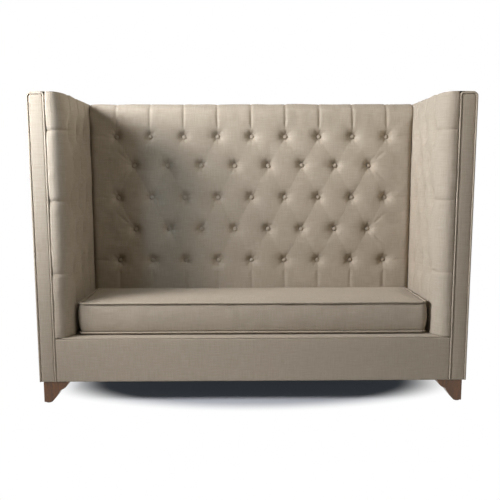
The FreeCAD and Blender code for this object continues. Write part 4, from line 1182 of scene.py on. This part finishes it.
# The sides bulge outward by one even swell, which turns with the outline round each corner.
turn_round, front_bulge, end_bulge = 0.055, 0.0084, 0.0195
share = np.clip((points[:, 2] - seam_bottom) / (seam_crown - seam_bottom), 0, 1)
off_x, off_y = points[:, 0], points[:, 1] - seam_middle
way_x = np.maximum(np.abs(off_x) - (seam_end - turn_round), 0) * np.sign(off_x)
way_y = np.maximum(np.abs(off_y) - (seam_half - turn_round), 0) * np.sign(off_y)
way_size = np.maximum(np.hypot(way_x, way_y), 1e-6)
way_x, way_y = way_x / way_size, way_y / way_size
swell = (way_x ** 2 * end_bulge + way_y ** 2 * front_bulge * (way_y < 0)) * np.sin(share * math.pi) ** 0.62
past_seam = -outline_gap(points)
at_side = (1 - facing_up) * np.clip((past_seam + 0.008) / 0.006, 0, 1)
push = (side_share * (swell - past_seam) + ripple) * at_side
points[:, 0] += way_x * push
points[:, 1] += way_y * push
low_limits = (cover_low.x + 0.0002, cover_low.y + 0.0002, cover_low.z + 0.0002)
high_limits = (cover_high.x - 0.0002, seam_rear + 0.0003, cover_high.z)
points = np.clip(points, low_limits, high_limits)
fine.vertices.foreach_set("co", points.ravel())
fine.update()
fine.polygons.foreach_set("use_smooth", [True] * len(fine.polygons))


def box_laid(mesh):
    """Lay the cloth coordinates from straight on to each side: top, front or end."""
    spots = vectors(mesh.vertices)[corners_of(mesh)]
    sizes = np.zeros(len(mesh.polygons), int)
    mesh.polygons.foreach_get("loop_total", sizes)
    facing = np.repeat(np.abs(vectors(mesh.polygons, "normal")), sizes, axis=0)
    top = (facing[:, 2] > 0.6)[:, None]
    end = (facing[:, 0] > facing[:, 1])[:, None]
    laid = np.where(top, spots[:, [0, 1]], np.where(end, spots[:, [1, 2]], spots[:, [0, 2]]))
    mesh.uv_layers.new(name="cloth")
    mesh.uv_layers["cloth"].data.foreach_set("uv", laid.ravel())


box_laid(fine)
fine.materials.clear()
fine.materials.append(linen)
pad(cover, "cushion_cover", "seat_cushion")

out = 0.0045
left, right, front, rear = -seam_end - out, seam_end + out, seam_front - out, seam_rear + out - 0.0005
for name, height in (("upper", seam_crown + 0.0015), ("lower", seam_bottom - 0.0013)):
    route, run = rounded_route([(left, front, height), (right, front, height), (right, rear, height),
                                (left, rear, height)], [0.028], closed=True)
    if name == "upper":
        route[:, 2] += 0.0008 * soft_noise(route[:, 0], route[:, 1], 0.16, 111)
    piping("cushion_piping_" + name, route, run, "cushion_piping", "seat_cushion", 121, closed=True)


# Zip and slider
# A coarse metal zip on linen tape in the back boxing, from which the cover comes off for cleaning. Brass teeth
# run along the tape, and the cast slider has a hanging pull.

brass, tree, shader = material("lacquered_brass")
tarnish = noise(tree, object_place(tree), 260.0, 4.0)
end_shader(tree, shader, blended(tree, tarnish, "#c7a45c", "#9c7a3c"),
           ranged(tree, tarnish, to_low=0.25, to_high=0.5), inputs={"Metallic": 1.0})

zip_low, zip_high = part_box("cushion_zip")
zip_middle = (zip_low.z + zip_high.z) / 2
tape = flat_cloth("zip_tape_cloth", Vector((zip_low.x, zip_low.y + 0.0002, zip_low.z)),
                  Vector((zip_high.x, zip_low.y + 0.0010, zip_high.z)), 1, 0.0008)
box_laid(tape.data)
tape.data.materials.append(linen)
tag(tape, "seat_cushion", "cushion_zip", slot="zip_tape")

teeth_tree, given = node_group("zip_teeth", [
    ("Width", "NodeSocketFloat", 0.0016), ("Reach", "NodeSocketFloat", 0.0042), ("Depth", "NodeSocketFloat", 0.0016)])
size = add(teeth_tree, "ShaderNodeCombineXYZ", {0: given["Width"], 1: given["Depth"], 2: given["Reach"]})
tooth = add(teeth_tree, "GeometryNodeMeshCube", {"Size": size.outputs[0]})
put = add(teeth_tree, "GeometryNodeInstanceOnPoints", {"Points": given["Geometry"], "Instance": tooth.outputs["Mesh"]})
end_tree(teeth_tree, put.outputs[0], brass)
tooth_pitch, tooth_stagger = 0.0027, 0.0009
spots = np.arange(zip_low.x + 0.004, zip_high.x - 0.003, tooth_pitch)
places = [(x, zip_low.y + 0.0018, zip_middle + (tooth_stagger if n % 2 else -tooth_stagger))
          for n, x in enumerate(spots)]
teeth = grown("zip_teeth_row", places, teeth_tree)
tag(teeth, "seat_cushion", slot="zip_metal")
eased_copy("zip_slider_cast", "zip_slider", brass, "zip_slider", "zip_metal", 0.0003)


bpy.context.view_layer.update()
